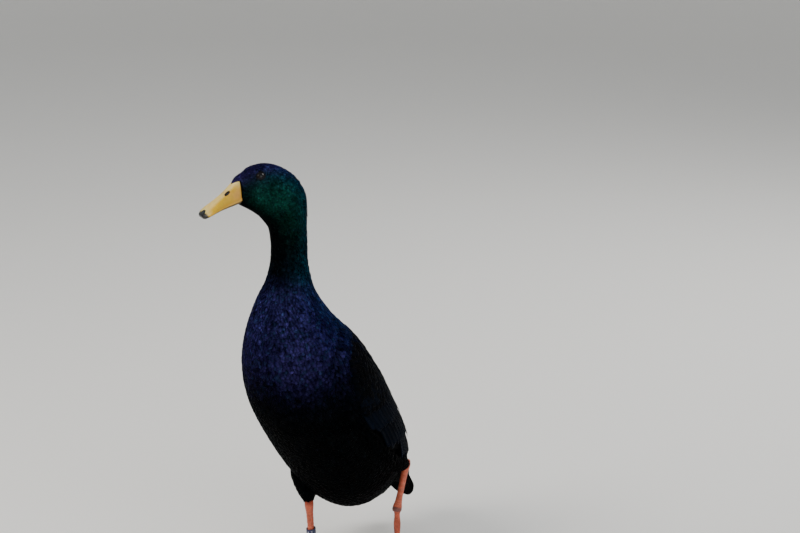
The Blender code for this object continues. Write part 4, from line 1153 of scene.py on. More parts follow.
def forehead_coat(settings, rng):
    """The point of short feathers between the two sides of the bill's root."""
    share, angle = np.meshgrid(np.linspace(0.02, 0.95, 17), np.linspace(-1.9, 1.9, 13), indexing="ij")
    share = share.ravel() + rng.normal(0, 0.012, share.size)
    angle = angle.ravel() + rng.normal(0, 0.06, angle.size)
    made = feather_coat(wedge_place, share, angle, 3.0, 0.9, -0.5, 0.12, rng.normal(0, 0.1, len(share)),
                        SMALL_SHAPE)
    tint = feather_tints(settings, 0.8 + 0 * share, 0.2 * angle, rng)
    spots = np.stack([0.5 + 0.2 * angle, 0.05 + 0.9 * share], -1)
    feather_piece("coat_forehead", [(made, tint, spots)], COAT_PATCH_WIDTH, GLOSSY)


def thigh_coat(settings, rng, side, tree):
    """Feathers of a thigh where it stands out of the body, down to its end over the hock."""
    place = thigh_place(side)
    us, angles = [], []
    for row, share in enumerate(np.linspace(0.15, 0.965, 24)):
        around = 12 + int(10 * (1 - share))
        us.append(share + rng.normal(0, 0.008, around))
        uneven = np.arange(around) + 0.5 * (row % 2) + rng.normal(0, 0.15, around)
        angles.append(uneven / around * 2 * math.pi)
    u, angle = np.concatenate(us), np.concatenate(angles)
    keep = []
    for p in place(u, angle, 0.0):
        spot, normal = tree.find_nearest(Vector(p))[:2]
        keep.append((Vector(p) - spot).dot(normal) > -4.0)
    u, angle = u[keep], angle[keep]
    count = len(u)
    left = np.linalg.norm(place(u, 0 * u) + place(u, 0 * u + math.pi)
                          - place(1.0, 0.0) - place(1.0, math.pi), axis=-1) / 2
    reach = np.interp(u, (0.0, 0.8, 1.0), (12.0, 8.0, 5.0)) * rng.normal(1.0, 0.08, count)
    reach = np.minimum(reach, left + rng.uniform(0.3, 1.6, count))
    made = feather_coat(place, u, angle, reach, reach * 0.33, THIGH_DOWN, 0.1 + rng.normal(0, 0.15, count),
                        rng.normal(0, 0.13, count), BODY_SHAPE)
    tint = feather_tints(settings, 22.0 + 0 * u, 3.0 + 0 * u, rng)
    spots = np.stack([0.03 + 0.94 * (angle / (2 * math.pi) % 1.0), 0.03 + 0.9 * u], -1)
    feather_piece("coat_thigh_" + side, [(made, tint, spots)], COAT_PATCH_WIDTH, SOFT)


class DUCK_OT_coat(bpy.types.Operator):
    """Small feathers of the head, neck, breast, belly, back and thighs, smallest on the face"""

    bl_idname = "duck.coat"
    bl_label = "Body feathers"

    def execute(self, context):
        settings = context.scene.duck_plumage
        rng = np.random.default_rng(SEED)
        feather_material(GLOSSY, 0.55, 0.92, 0.40, 0.45)
        feather_material(SOFT, 0.8, 0.88, 0.44, 0.40)
        for coat in BODY_COATS:
            body_coat(settings, rng, *coat)
        forehead_coat(settings, rng)
        tree = body_tree(-1.0)
        for side in LEGS:
            thigh_coat(settings, rng, side, tree)
        return {"FINISHED"}


# --- wings and tail ---------------------------------------------------------------------------------

# A long feather's section: places across it, in half widths, and how its shaft stands up.
ACROSS = np.array((-1.0, -0.62, -0.2, -0.045, 0.045, 0.2, 0.62, 1.0))
SHAFT_RISE = np.array((0.0, 0.20, 0.26, 0.52, 0.52, 0.26, 0.20, 0.0))
VANE_THICK = 0.22
TIP_BEND_IN = 0.9               # how far a long feather's tip bends in towards the body

# Along the wing, height of the down under the long feathers.
PAD = ((0.0, 2.2), (0.05, 4.2), (0.10, 5.4), (0.17, 5.0), (0.25, 4.5), (0.33, 3.6), (0.42, 1.7),
       (0.60, 1.3), (0.86, 0.9))
PRIMARIES = 7
# Tiers of long wing feathers: root, tip at the back, tip at the lower edge, half width, spacing, slope,
# and (along, height) of the shafts.
TIERS = (
    ("secondary", 0.33, 0.90, 0.60, 8.0, 8.6, 0.085,
     ((0.33, 3.0), (0.40, 4.0), (0.46, 4.6), (0.60, 4.9), (0.90, 5.0))),
    ("greater", 0.26, 0.56, 0.46, 6.6, 6.8, 0.07,
     ((0.26, 3.6), (0.33, 4.8), (0.40, 5.9), (0.46, 6.2), (0.60, 5.9))),
    ("median", 0.19, 0.41, 0.36, 5.4, 5.6, 0.06, ((0.19, 4.4), (0.25, 5.8), (0.33, 6.7), (0.40, 6.7))),
    ("marginal", 0.13, 0.30, 0.27, 4.8, 4.9, 0.05, ((0.13, 5.2), (0.19, 6.6), (0.27, 7.1), (0.32, 7.0))),
)


def long_vane(place, root, tip, shaft, half, lift, slope, pointed=0.0, rows=14):
    """One long feather with its shaft as a ridge; its blunt or pointed tip is rounded in its own plane."""
    middle = place(np.array((root, tip)), np.array((shaft(root), shaft(tip))), 0.0)
    length = np.linalg.norm(middle[1] - middle[0])
    round_share = min(0.5, half * (1.1 + 1.6 * pointed) / length)
    share = 1.0 - (1.0 - np.linspace(0.0, 1.0, rows)) ** 1.35
    share[-1] = 1.0 - 0.004
    over = np.clip((share - (1 - round_share)) / round_share, 0, 1)
    wide = np.sqrt(np.maximum(1.0 - over ** (2.0 - 0.7 * pointed), 0.0)) * (1 - 0.25 * pointed * over)
    wide = np.maximum(wide, 0.06) * (0.45 + 0.55 * smooth(share / 0.16))
    along = root + (tip - root) * share
    d = 0.002
    ahead = (place(along + d, shaft(along + d), 0.0) - place(along - d, shaft(along - d), 0.0)) / (2 * d)
    beside = place(along, shaft(along) + 0.5, 0.0) - place(along, shaft(along) - 0.5, 0.0)
    lean = np.sum(beside * unit(ahead), -1)
    square = np.sqrt(np.maximum(np.sum(beside * beside, -1) - lean * lean, 0.05))
    reach = np.linalg.norm(ahead, axis=-1)
    rings, vanes = [], []
    for side, rise in ((ACROSS, SHAFT_RISE), (ACROSS[-2:0:-1], -SHAFT_RISE[-2:0:-1] * 0.4)):
        r = half * wide[:, None] * side
        step = r / square[:, None]
        at = along[:, None] - lean[:, None] * step / reach[:, None]
        height = (lift(at) + slope * r - 0.10 * np.abs(side) ** 2 * half / 6
                  - TIP_BEND_IN * over[:, None] ** 2
                  + VANE_THICK * rise * np.minimum(1.0, wide[:, None] * 2))
        rings.append(place(at, shaft(along)[:, None] + step, height))
        vanes.append(np.stack([r, 0 * r + (share * length)[:, None]], -1))
    rings = np.concatenate(rings, 1)
    vanes = np.concatenate(vanes, 1)
    points, faces = tube_mesh(rings)
    vanes = np.concatenate([vanes.reshape(-1, 2), vanes[:1].mean(1), vanes[-1:].mean(1)])
    shares = np.concatenate([np.repeat(share, rings.shape[1]), share[:1], share[-1:]])
    return points, outward(points, faces), shares, vanes


def wing_angle(along, across):
    """Station and angle of a place on the wing, both given as shares of it."""
    t = WING_FRONT[0][0] + (WING_FRONT[-1][0] - WING_FRONT[0][0]) * along
    back = curve(WING_BACK, t)
    front = curve(WING_FRONT, t)
    return TRUNK + t, np.radians(back + (front - back) * across)


def wing_widths():
    """Width of the wing over the trunk at steps along it."""
    along = np.linspace(0, 1, 41)
    at, across = np.meshgrid(along, np.linspace(0, 1, 11), indexing="ij")
    points = body_straight(*wing_angle(at, across))
    return along, np.linalg.norm(np.diff(points, axis=1), axis=-1).sum(1)


WING_WIDTHS = wing_widths()


def wing_width(along):
    return np.interp(along, *WING_WIDTHS)


def wing_place(sign):
    """A place(share along, millimetres across, height) over one folded wing."""
    def place(along, across, height):
        along = np.asarray(along, float)
        at = np.clip(along, -0.04, 1.04)
        p = body(*wing_angle(at, across / wing_width(at)), height)
        return p * (sign, 1.0, 1.0)

    return place


def wing_pad(place, side):
    """Down that fills the wing under its long feathers."""
    along, across = np.meshgrid(np.linspace(0, 0.86, 44), np.linspace(0.02, 0.98, 30), indexing="ij")
    dome = 1 - np.abs(2 * across - 1) ** 6
    across = across * (1 - 0.35 * smooth((along - 0.40) / 0.3))
    high = 1.0 + (curve(PAD, along) - 1.0) * dome
    points, faces = plate_mesh(place(along, across * wing_width(along), high),
                               place(along, across * wing_width(along), -1.5))
    pad = mesh_piece("wing_pad_" + side, points, faces, bpy.data.materials[DOWN])
    add_uv(pad, "OFBake", np.tile(np.stack([across, along], -1).reshape(-1, 2), (2, 1)))
    place_piece(pad, SLOTS[DOWN])


def uneven(colour, spread_of_tints, rng):
    """One colour, a little lighter or darker from feather to feather, as a row of a table."""
    return np.array(colour)[None] * math.exp(rng.normal(0, spread_of_tints))


def primaries(place, settings, rng):
    """The longest feathers, stacked along the wing's upper edge to its point."""
    for i in range(PRIMARIES):
        def shaft(along, i=i):
            return 4.2 + 4.6 * i * (1 - 0.5 * smooth((along - 0.5) / 0.5))

        def lift(along, i=i):
            return 1.9 + (1.6 - 0.28 * i) * smooth((along - 0.40) / 0.2)

        tip = 1.0 - 0.022 * i - 0.004 * i * i
        vane = long_vane(place, 0.37, tip, shaft, 6.0, lift, 0.10, 0.8, 20)
        yield vane, uneven(settings.black, 0.12, rng), [(0.1 + 0.03 * i, 0.9)]


def tier_feathers(place, settings, rng, tier):
    """One tier from the wing's upper edge to its lower one, with its tips inside the wing's outline."""
    label, root, back_tip, low_tip, half, pitch, slope, heights = TIERS[tier]
    longest = label == "secondary"

    def squeeze(along):
        return np.where(along < 0.36, np.minimum(1.0, wing_width(along) / wing_width(0.36)), 1.0)

    offset = half * 0.7
    low = wing_width(low_tip)
    while offset < 0.95 * low + 1.0:
        share = min(1.0, offset / low)
        tip = back_tip + (low_tip - back_tip) * share ** (0.8 if longest else 1.0)
        inside, margin, shortest = (0.95, 2.0, low_tip - 0.05) if longest else (0.97, 0.0, low_tip - 0.04)
        while tip > shortest and offset > inside * wing_width(tip) - margin:
            tip -= 0.004
        tip += rng.normal(0, 0.004)
        blue = 0.20 * share if longest else 0.12
        colour = np.array(settings.black) * (1 - blue) + np.array(settings.blue) * blue
        vane = long_vane(place, root, tip, lambda along, x=offset: x * squeeze(along), half,
                         lambda along: curve(heights, along), slope, 0.7 * (1 - share) if longest else 0.15,
                         16)
        yield vane, uneven(colour, 0.12, rng), [(0.05 + 0.9 * share, 0.1 + 0.2 * tier)]
        offset += pitch * float(rng.normal(1.0, 0.03))


def lesser_coverts(place, settings, rng):
    """Small feathers over the front of the wing."""
    us, vs, sizes = [], [], []
    for row, at in enumerate(np.linspace(0.0, 0.24, 15)):
        wide = float(wing_width(at))
        size = 4.2 + 8.0 * at
        count = max(3, int(wide / (size * 1.05)))
        us.append(at + rng.normal(0, 0.003, count))
        vs.append((np.arange(count) + 0.5 * (row % 2) + 0.25 + rng.normal(0, 0.12, count)) / count * wide)
        sizes.append(np.full(count, size))
    u, v, size = (np.concatenate(x) for x in (us, vs, sizes))
    tops = np.interp(u, (0.0, 0.05, 0.10, 0.24), (3.6, 5.6, 6.9, 7.4))
    made = feather_coat(place, u, v, size * 2.9, size * 0.86, tops - 2.6, tops + rng.normal(0, 0.15, len(u)),
                        rng.normal(0, 0.09, len(u)), BODY_SHAPE)
    tint = 0.7 * feather_tints(settings, 16.5 + 18 * u, math.radians(55) + 0 * u, rng)
    return made, tint, np.stack([0.03 + 0.9 * v / v.max(), 0.03 + 3.6 * u], -1)


def shoulder_feathers(place, settings, rng):
    """Longer feathers from the shoulder that lap over the wing's upper edge."""
    us, vs, sizes = [], [], []
    for row, at in enumerate(np.linspace(0.02, 0.46, 18)):
        size = 5.5 + 9.0 * at
        us.append(at + rng.normal(0, 0.004, 5))
        vs.append((np.arange(5) + 0.5 * (row % 2)) * size * 0.95 - 3.0 + rng.normal(0, 0.8, 5))
        sizes.append(np.full(5, size))
    u, v, size = (np.concatenate(x) for x in (us, vs, sizes))
    tops = np.interp(u, (0.0, 0.06, 0.3, 0.5, 0.7), (4.4, 7.0, 7.8, 7.0, 6.0)) + 0.2
    made = feather_coat(place, u, v, size * 3.4, size * 0.80, tops - 3.0, tops + rng.normal(0, 0.15, len(u)),
                        rng.normal(0.05, 0.06, len(u)), BODY_SHAPE)
    tint = 0.55 * feather_tints(settings, 15.5 + 10 * u, math.radians(20) + 0 * u, rng)
    return made, tint, np.stack([0.5 + 0.4 * v / v.max(), 0.9 + 0.08 * u], -1)


class DUCK_OT_wings(bpy.types.Operator):
    """Folded wings: primaries, secondaries, tiers of coverts and the shoulder feathers over them"""

    bl_idname = "duck.wings"
    bl_label = "Wings"

    def execute(self, context):
        settings = context.scene.duck_plumage
        feather_material(FLIGHT, 0.9, 0.85, 0.40, 0.25)
        for seed, sign, side in ((SEED + 1, 1, "left"), (SEED + 2, -1, "right")):
            rng = np.random.default_rng(seed)
            place = wing_place(sign)
            wing_pad(place, side)
            parts = list(primaries(place, settings, rng))
            for tier in range(len(TIERS)):
                parts += tier_feathers(place, settings, rng, tier)
            feather_piece("wing_feathers_" + side, parts, VANE_PATCH_WIDTH, FLIGHT, "wing_" + side)
            parts = [lesser_coverts(place, settings, rng), shoulder_feathers(place, settings, rng)]
            feather_piece("shoulder_coat_" + side, parts, COAT_PATCH_WIDTH, SOFT)
        return {"FINISHED"}


TAIL_TO = 1.05                  # share of the tail that its table of frames reaches
TAIL_TABLE = np.array([np.concatenate(tail_frame(a)) for a in np.linspace(0, TAIL_TO, 43)])
# Coverts of the tail: upper 1 or lower -1, root, tip, half width.
TAIL_COVERTS = ((1, 0.02, 0.44, 5.6), (1, -0.06, 0.28, 5.4), (-1, 0.02, 0.62, 5.6), (-1, -0.06, 0.42, 5.4),
                (-1, -0.10, 0.24, 5.2))
COVERTS_IN_ROW = 9
COVERT_FAN = math.radians(68.0)


def tail_point(along, x, up):
    """A point beside and above the middle of the tail."""
    row = spline(TAIL_TABLE, along / TAIL_TO * (len(TAIL_TABLE) - 1))
    return np.stack([x, row[..., 0] + row[..., 2] * up, row[..., 1] + row[..., 3] * up], -1)


def flat_place(along, across, height):
    """The plane through the middle of the tail."""
    along, across, height = np.broadcast_arrays(np.asarray(along, float), across, height)
    return tail_point(along, across, height)


def round_place(middle):
    """A place over the tail's rounded root; middle is the angle that nothing across stands for."""
    def place(along, across, height):
        along, across, height = np.broadcast_arrays(np.asarray(along, float), across, height)
        half = curve([(r[0], r[1]) for r in TAIL_ROUND], along)
        deep = curve([(r[0], r[2]) for r in TAIL_ROUND], along)
        angle = middle + across / np.hypot(half * math.cos(middle), deep * math.sin(middle))
        return tail_point(along, (half + height) * np.sin(angle), (deep + height) * np.cos(angle))

    return place


def tail_quills(settings, rng):
    """The fan's own feathers, eight to a side, the middle ones longest and on top."""
    for sign in (1, -1):
        for k in range(8):
            def shaft(along, x=1.4 + 2.25 * k):
                return sign * x * (0.66 + 0.34 * np.minimum(along / 0.8, 1.0))

            tip = (1.0 if sign > 0 else 0.99) - 0.008 * k - 0.004 * k * k + rng.normal(0, 0.003)
            vane = long_vane(flat_place, 0.12, tip, shaft, 6.2,
                             lambda along: 2.4 + 0.2 * sign - 0.55 * k + 0 * along, -0.12 * sign, 0.35, 18)
            yield vane, uneven(settings.black, 0.1, rng), [(0.5 + sign * 0.05 * (k + 1), 0.8)]


def tail_coverts(settings, rng):
    """Rows of coverts over and under the fan's root."""
    for top, base, tip, half in TAIL_COVERTS:
        for share in np.linspace(-1, 1, COVERTS_IN_ROW):
            place = round_place((0.0 if top > 0 else math.pi) + COVERT_FAN * share)
            vane = long_vane(place, max(base, 0.0), tip - 0.09 * abs(share) + rng.normal(0, 0.006),
                             lambda along: 0.0 * np.asarray(along, float), half,
                             lambda along: -1.2 + 2.0 * smooth((along - base) / 0.16) - 4.0 * max(0.0, base),
                             -0.05 * share, 0.3, 12)
            spot = (0.5 + 0.4 * share, 0.3 + 0.1 * top + 0.3 * tip)
            yield vane, uneven(settings.black, 0.12, rng), [spot]


class DUCK_OT_tail(bpy.types.Operator):
    """Closed fan of tail feathers under and over the long coverts"""

    bl_idname = "duck.tail"
    bl_label = "Tail"

    def execute(self, context):
        settings = context.scene.duck_plumage
        rng = np.random.default_rng(SEED + 5)
        parts = [*tail_quills(settings, rng), *tail_coverts(settings, rng)]
        feather_piece("tail_feathers", parts, VANE_PATCH_WIDTH, FLIGHT, "tail")
        return {"FINISHED"}


# --- eyes -------------------------------------------------------------------------------------------

# Folds of the lids: size, thickness, height over the eyeball, how light.
LID_FOLDS = ((1.0, 0.6, 0.1, 1.0), (1.13, 0.5, -0.25, 0.5))
LID_OPENING = (4.9, 3.6)        # half length and half height between the lids
LID_STEPS = 48
LID_SIDES = 10


def eyeball(side, mirror, mat):
    """A ball that looks outward; "polar" is each point's angle from the middle of the pupil."""
    middle = turn_head(EYE_MIDDLE * mirror)
    look = unit(turn_head((EYE_MIDDLE + EYE_OUT) * mirror) - middle)
    eye = ball("eyeball_" + side, EYE_RADIUS * MM, 48, 32)
    polar = [math.acos(max(-1.0, min(1.0, v.co.normalized().z))) / math.pi for v in eye.data.vertices]
    layer = eye.data.attributes.new("polar", "FLOAT", "POINT")
    layer.data.foreach_set("value", polar)
    turn = Vector((0, 0, 1)).rotation_difference(Vector(look)).to_matrix().to_4x4()
    eye.data.transform(Matrix.Translation((middle + SHIFT) * MM) @ turn)
    eye.data.materials.append(mat)
    eye.data.shade_smooth()
    place_piece(eye, "eye", "eye_" + side)


def lid_fold(settings, mirror, mat, size, thick, high, light):
    """One fold of skin round the eye, as a closed ring, thicker below."""
    long = np.cos(turns(LID_STEPS))
    tall = np.sin(turns(LID_STEPS))
    spot = (EYE_FRONT[None] * (LID_OPENING[0] * long * size)[:, None]
            + EYE_UP[None] * (LID_OPENING[1] * size * tall * (1 - 0.25 * long * long))[:, None])
    rise = np.sqrt(np.maximum(0.0, (EYE_RADIUS + 0.4) ** 2 - np.sum(spot * spot, -1)))
    core = EYE_MIDDLE + spot + EYE_OUT * (rise + high - 0.2)[:, None]
    b = turns(LID_SIDES)
    fold = 1.0 + 0.3 * np.maximum(0, -tall)
    rings = (core[:, None] + unit(spot)[:, None] * (thick * fold[:, None] * np.cos(b))[..., None]
             + EYE_OUT * (thick * np.sin(b))[None, :, None])
    i, j = np.meshgrid(np.arange(LID_STEPS), np.arange(LID_SIDES), indexing="ij")
    here, after = i * LID_SIDES, (i + 1) % LID_STEPS * LID_SIDES
    k = (j + 1) % LID_SIDES
    faces = np.stack([here + j, here + k, after + k, after + j], -1).reshape(-1, 4)
    piece = mesh_piece("lid_fold", turn_head(rings * mirror).reshape(-1, 3), faces, mat)
    below = np.clip(-np.repeat(tall, LID_SIDES)[:, None], 0, 1)
    paint(piece, np.array(settings.lid) * (0.5 + 0.5 * below) * light)
    return piece


class DUCK_OT_eyes(bpy.types.Operator):
    """Wet dark eyes in their lids"""

    bl_idname = "duck.eyes"
    bl_label = "Eyes"

    def execute(self, context):
        settings = context.scene.duck_eyes
        wet = eye_material(settings)
        bare = horn_material("bare eyelid", 0.6, 0.2, 0.5, gloss=0.12)
        folds = []
        for sign, side in ((1, "left"), (-1, "right")):
            mirror = np.array((sign, 1.0, 1.0))
            eyeball(side, mirror, wet)
            folds += [lid_fold(settings, mirror, bare, *fold) for fold in LID_FOLDS]
        place_piece(join("eyelids", folds), "glossy_plumage")
        return {"FINISHED"}


# --- bill -------------------------------------------------------------------------------------------

NOSTRIL = np.array((5.6, 14.5, 4.6))    # on the bill's left side, in its own axes


def bill_row(forward):
    """The bill's half width and the heights of its culmen and its edge."""
    t = np.interp(forward, [r[0] for r in UPPER_BILL], np.arange(len(UPPER_BILL)))
    return np.moveaxis(spline(UPPER_BILL, t)[..., 1:], -1, 0)


def bill_stations(count, tip_count, reach, power):
    """Places of the sections along the bill, closer together round its tip."""
    tip = 40 + reach * (1 - (1 - np.linspace(0.03, 1, tip_count)) ** power)
    return np.concatenate([np.linspace(-4.0, 40.0, count), tip])


def upper_section(forward):
    """Sections of the upper half: an arch from edge to edge over a slightly hollow underside."""
    half, top, edge = bill_row(forward)[..., None]
    a = np.linspace(0, math.pi, 25)[None]
    c = np.cos(a)
    s = np.sin(a)
    x = half * np.sign(c) * np.abs(c) ** 0.72
    z = edge + (top - edge) * s ** 0.9
    lip = 0.35 * np.exp(-((z - edge - 0.7) / 0.8) ** 2)
    x = x + np.sign(c) * lip
    hollow = np.array(((-0.6, 0.35), (0.0, 0.5), (0.6, 0.35)))
    x = np.concatenate([x, half * hollow[:, 0]], 1)
    z = np.concatenate([z, edge + hollow[:, 1]], 1)
    return np.stack([x, 0 * x + forward[:, None], z], -1)


def lower_section(forward):
    """Sections of the lower half, which lies inside the upper one's edges."""
    half, _, edge = bill_row(forward)[..., None]
    deep = 3.0 * np.maximum(1 - forward / 60.0, 0.05)[:, None] ** 0.6 + 0.9
    half = half * 0.88 - 0.2
    a = np.linspace(0, math.pi, 19)[None]
    keel = 0.25 * np.exp(-((np.abs(np.cos(a)) - 0.45) / 0.12) ** 2)
    x = np.concatenate([half * np.cos(a), half * np.array((-0.5, 0.5))], 1)
    z = np.concatenate([edge - MOUTH_GAP - deep * np.sin(a) ** 0.8 + keel,
                        edge - MOUTH_GAP + 0.3 * np.ones((1, 2))], 1)
    return np.stack([x, 0 * x + forward[:, None], z], -1)


def nail_block(grow):
    """A block whose outline is the nail's, rounded at the back, to cut with."""
    a = np.linspace(0, math.pi, 25)
    side = NAIL_HALF + 0.6 + grow
    x = np.concatenate([np.cos(a) * (NAIL_HALF + grow), (-side, side)])
    y = np.concatenate([NAIL_FROM + 4.0 - np.sin(a) * (4.0 + grow), (53.0 + grow, 53.0 + grow)])
    return tube_mesh([bill_space(np.stack([x, y, 0 * x + height], -1)) for height in (-14.0, 4.0)])


def mix(base, colour, share):
    """Colours brought towards another one, each by its own share."""
    share = np.clip(share, 0, 1)[:, None]
    return base * (1 - share) + np.asarray(colour) * share


def bill_tints(settings, p):
    """Yellow sides, a warm root, a richer lower edge with a pale line along it, and a pale painted highlight
    on the ridge, the points at the root and the upper side of the tip.
    """
    forward, height = p[:, 1], p[:, 2]
    top, low = bill_row(forward)[1:]
    rise = np.clip((height - low) / np.maximum(top - low, 1.0), 0, 1)
    highlight_and_edge_cream = np.array(settings.highlight_and_edge_cream)
    pink = np.array(settings.pink)
    tint = np.repeat(np.array(settings.yellow)[None], len(p), 0)
    tint = mix(tint, settings.edge, 0.8 * smooth((0.34 - rise) / 0.34) * smooth((46 - forward) / 20))
    # Painted highlight: the ridge, the points at the root and the upper side of the tip are made paler.
    tint = mix(tint, highlight_and_edge_cream, 0.6 * smooth((rise - 0.78) / 0.22))
    tint = mix(tint, highlight_and_edge_cream, 0.6 * smooth((6.0 - forward) / 7.0) * smooth((rise - 0.5) / 0.4))
    tint = mix(tint, highlight_and_edge_cream * 0.8, 0.4 * smooth((forward - 38) / 6) * smooth((rise - 0.2) / 0.3))
    tint = mix(tint, np.array(settings.dark) * 0.10, smooth((forward - 44.5) / 2.5))
    tint = mix(tint, pink, 0.55 * np.exp(-((forward - 5.0) / 7.0) ** 2 - ((rise - 0.42) / 0.30) ** 2))
    # A pale line along the edge of the upper bill.
    tint = mix(tint, highlight_and_edge_cream, 0.4 * np.exp(-((rise - 0.03) / 0.045) ** 2) * (forward < 43))
    round_nostril = np.exp(-(((forward - 14.5) / 4.6) ** 2 + ((height - 4.4) / 2.7) ** 2) ** 2)
    return mix(tint, pink * 0.8, 0.35 * round_nostril)


def in_nostril(p):
    """Whether points in the bill's axes lie on a nostril's walls."""
    c = math.cos(BILL_PITCH * 0.5)
    s = math.sin(BILL_PITCH * 0.5)
    inside = np.zeros(len(p), bool)
    for side in (1, -1):
        x, y, z = (p - NOSTRIL * (side, 1.0, 1.0)).T
        inside |= (x / 2.3) ** 2 + ((c * y - s * z) / 4.0) ** 2 + ((s * y + c * z) / 2.3) ** 2 < 1.0
    return inside & (np.abs(p[:, 0]) < 4.9)


def cut_nostrils(upper):
    """Cuts an oval pit into each side of the bill, along its slope."""
    turn = Matrix.Rotation(HEAD_TURN, 4, "Z") @ Matrix.Rotation(BILL_PITCH * 1.5, 4, "X")
    stretch = Matrix.Diagonal((2.2 * MM, 3.9 * MM, 2.2 * MM, 1.0))
    for side in (1, -1):
        pit = ball("pit", 1.0, 28, 18)
        middle = bill_space(NOSTRIL * (side, 1.0, 1.0))
        pit.data.transform(Matrix.Translation((middle + SHIFT) * MM) @ turn @ stretch)
        cut(upper, pit)


class DUCK_OT_bill(bpy.types.Operator):
    """Bill with its nail, its open nostrils and the line of the mouth"""

    bl_idname = "duck.bill"
    bl_label = "Bill"

    def execute(self, context):
        settings = context.scene.duck_horn
        # The bill is soft keratin over bone, so a little light sinks in; the nail is harder and shinier.
        horn = horn_material("bill keratin", 0.42, 0.10, 0.35, 0.10)
        hard = horn_material(NAIL_HORN, 0.22, 0.25, 0.2)
        arch = tube_mesh(bill_space(upper_section(bill_stations(60, 26, 10.0, 1.8))))
        upper = mesh_piece("upper_bill", *arch, horn)
        nail = mesh_piece("bill_tip_nail", *arch, hard)
        cut(nail, mesh_piece("block", *nail_block(-0.05), hard), "INTERSECT")
        cut(upper, mesh_piece("hole", *nail_block(0.12), horn))
        cut_nostrils(upper)
        for obj in (upper, nail):
            obj.data.shade_smooth()
            select_only(obj)
            bpy.ops.object.shade_smooth_by_angle(angle=math.radians(50))
        p = bill_axes(points_of(upper))
        tint = bill_tints(settings, p)
        # The nostrils' walls are painted near black, as painted shade inside the holes.
        tint[in_nostril(p)] = np.array(settings.dark) * 0.15
        paint(upper, tint)
        paint(nail, tuple(settings.nail))
        points, faces = tube_mesh(bill_space(lower_section(bill_stations(50, 20, 8.8, 1.6))))
        lower = mesh_piece("lower_bill", points, faces, horn)
        p = bill_axes(points)
        side = smooth((np.abs(p[:, 0]) - 6.5) / 3.0) * smooth((40 - p[:, 1]) / 20)
        paint(lower, mix(np.array(settings.dark)[None], settings.yellow, 0.35 * side))
        place_piece(upper, "bill", "bill_upper")
        place_piece(nail, "nail", "bill_nail")
        place_piece(lower, "dark_horn", "bill_lower")
        return {"FINISHED"}


# --- legs -------------------------------------------------------------------------------------------

UP = np.array((0.0, 0.0, 1.0))
# Along the shank from the hock, half width and half depth, in parts of TARSUS_HALF.
TARSUS_SHAPE = ((-0.135, 0.55, 0.55), (-0.11, 0.95, 0.95), (-0.06, 1.20, 1.22), (0.0, 1.30, 1.30),
                (0.08, 1.20, 1.18), (0.20, 1.02, 1.02), (0.45, 0.95, 0.96), (0.70, 0.96, 0.96),
                (0.86, 1.12, 1.0), (0.97, 1.4, 1.0), (1.03, 1.3, 0.98))
TOE_SHARE = 0.92                # how much of a toe's length comes before its claw
FOOT_GRAIN = 0.45               # size of the steps in which toes and webs are fused
WEB_LENGTHS = (0.86, 0.80)      # share of the side toe and of the middle one that the web reaches


def heading_way(heading):
    return np.array((math.sin(heading), -math.cos(heading), 0.0))


def tarsus_stations(side):
    hock, ankle, heading = leg_line(side)
    way = heading_way(heading)
    return [(hock + (ankle - hock) * share, TARSUS_HALF[0] * wide, TARSUS_HALF[1] * deep, way)
            for share, wide, deep in TARSUS_SHAPE]


def toe_size(share):
    return TOE_RADIUS * (1.05 - 0.42 * share)


def toe_points(side, toe, length, share):
    """Middles along a toe from the ankle out; the left foot stands on its toe tips."""
    ankle, heading = leg_line(side)[1:]
    way = heading_way(heading + SPLAY[side][toe])
    rest = toe_size(share) - TOE_PRESS
    flat = np.array((ankle[0], ankle[1], 0.0))
    if side == "right":
        z = rest + (ankle[2] - 2.0 - rest) * (1 - smooth(length * share / 16.0))
        return flat + way * (length * share)[:, None] + UP * z[:, None]
    slant = length - TIP_ON_FLOOR
    run = math.sqrt(max(slant * slant - ankle[2] * ankle[2], 9.0))
    down = np.minimum(share / TIP_BEND, 1.0)
    onward = np.maximum(0.0, share - TIP_BEND) / (1 - TIP_BEND) * TIP_ON_FLOOR
    arch = np.sin(math.pi * down)
    z = rest + (ankle[2] - rest) * (1 - down) + 1.0 * arch
    return flat + way * (run * down + onward + 2.5 * arch)[:, None] + UP * z[:, None]


def round_tube(points, sizes, ahead, sides):
    """Rings of a round tube through points."""
    axis = unit(np.gradient(points, axis=0))
    ahead = unit(ahead - axis * np.sum(ahead * axis, -1, keepdims=True))
    across = np.cross(axis, ahead)
    a = turns(sides)
    wave = sizes if sizes.ndim == 2 else np.repeat(sizes[:, None], sides, 1)
    return (points[:, None] + across[:, None] * (wave * np.cos(a))[..., None]
            + ahead[:, None] * (wave * np.sin(a))[..., None])


def scutes(distance, spacing):
    """A row of overlapping scutes: each rises slowly and ends in a step."""
    x = distance / spacing % 1.0
    return np.where(x < 0.82, x / 0.82, (1 - x) / 0.18)


def leg_colours(settings):
    return (np.array(c) for c in (settings.scales, settings.pale, settings.dusky, settings.web))


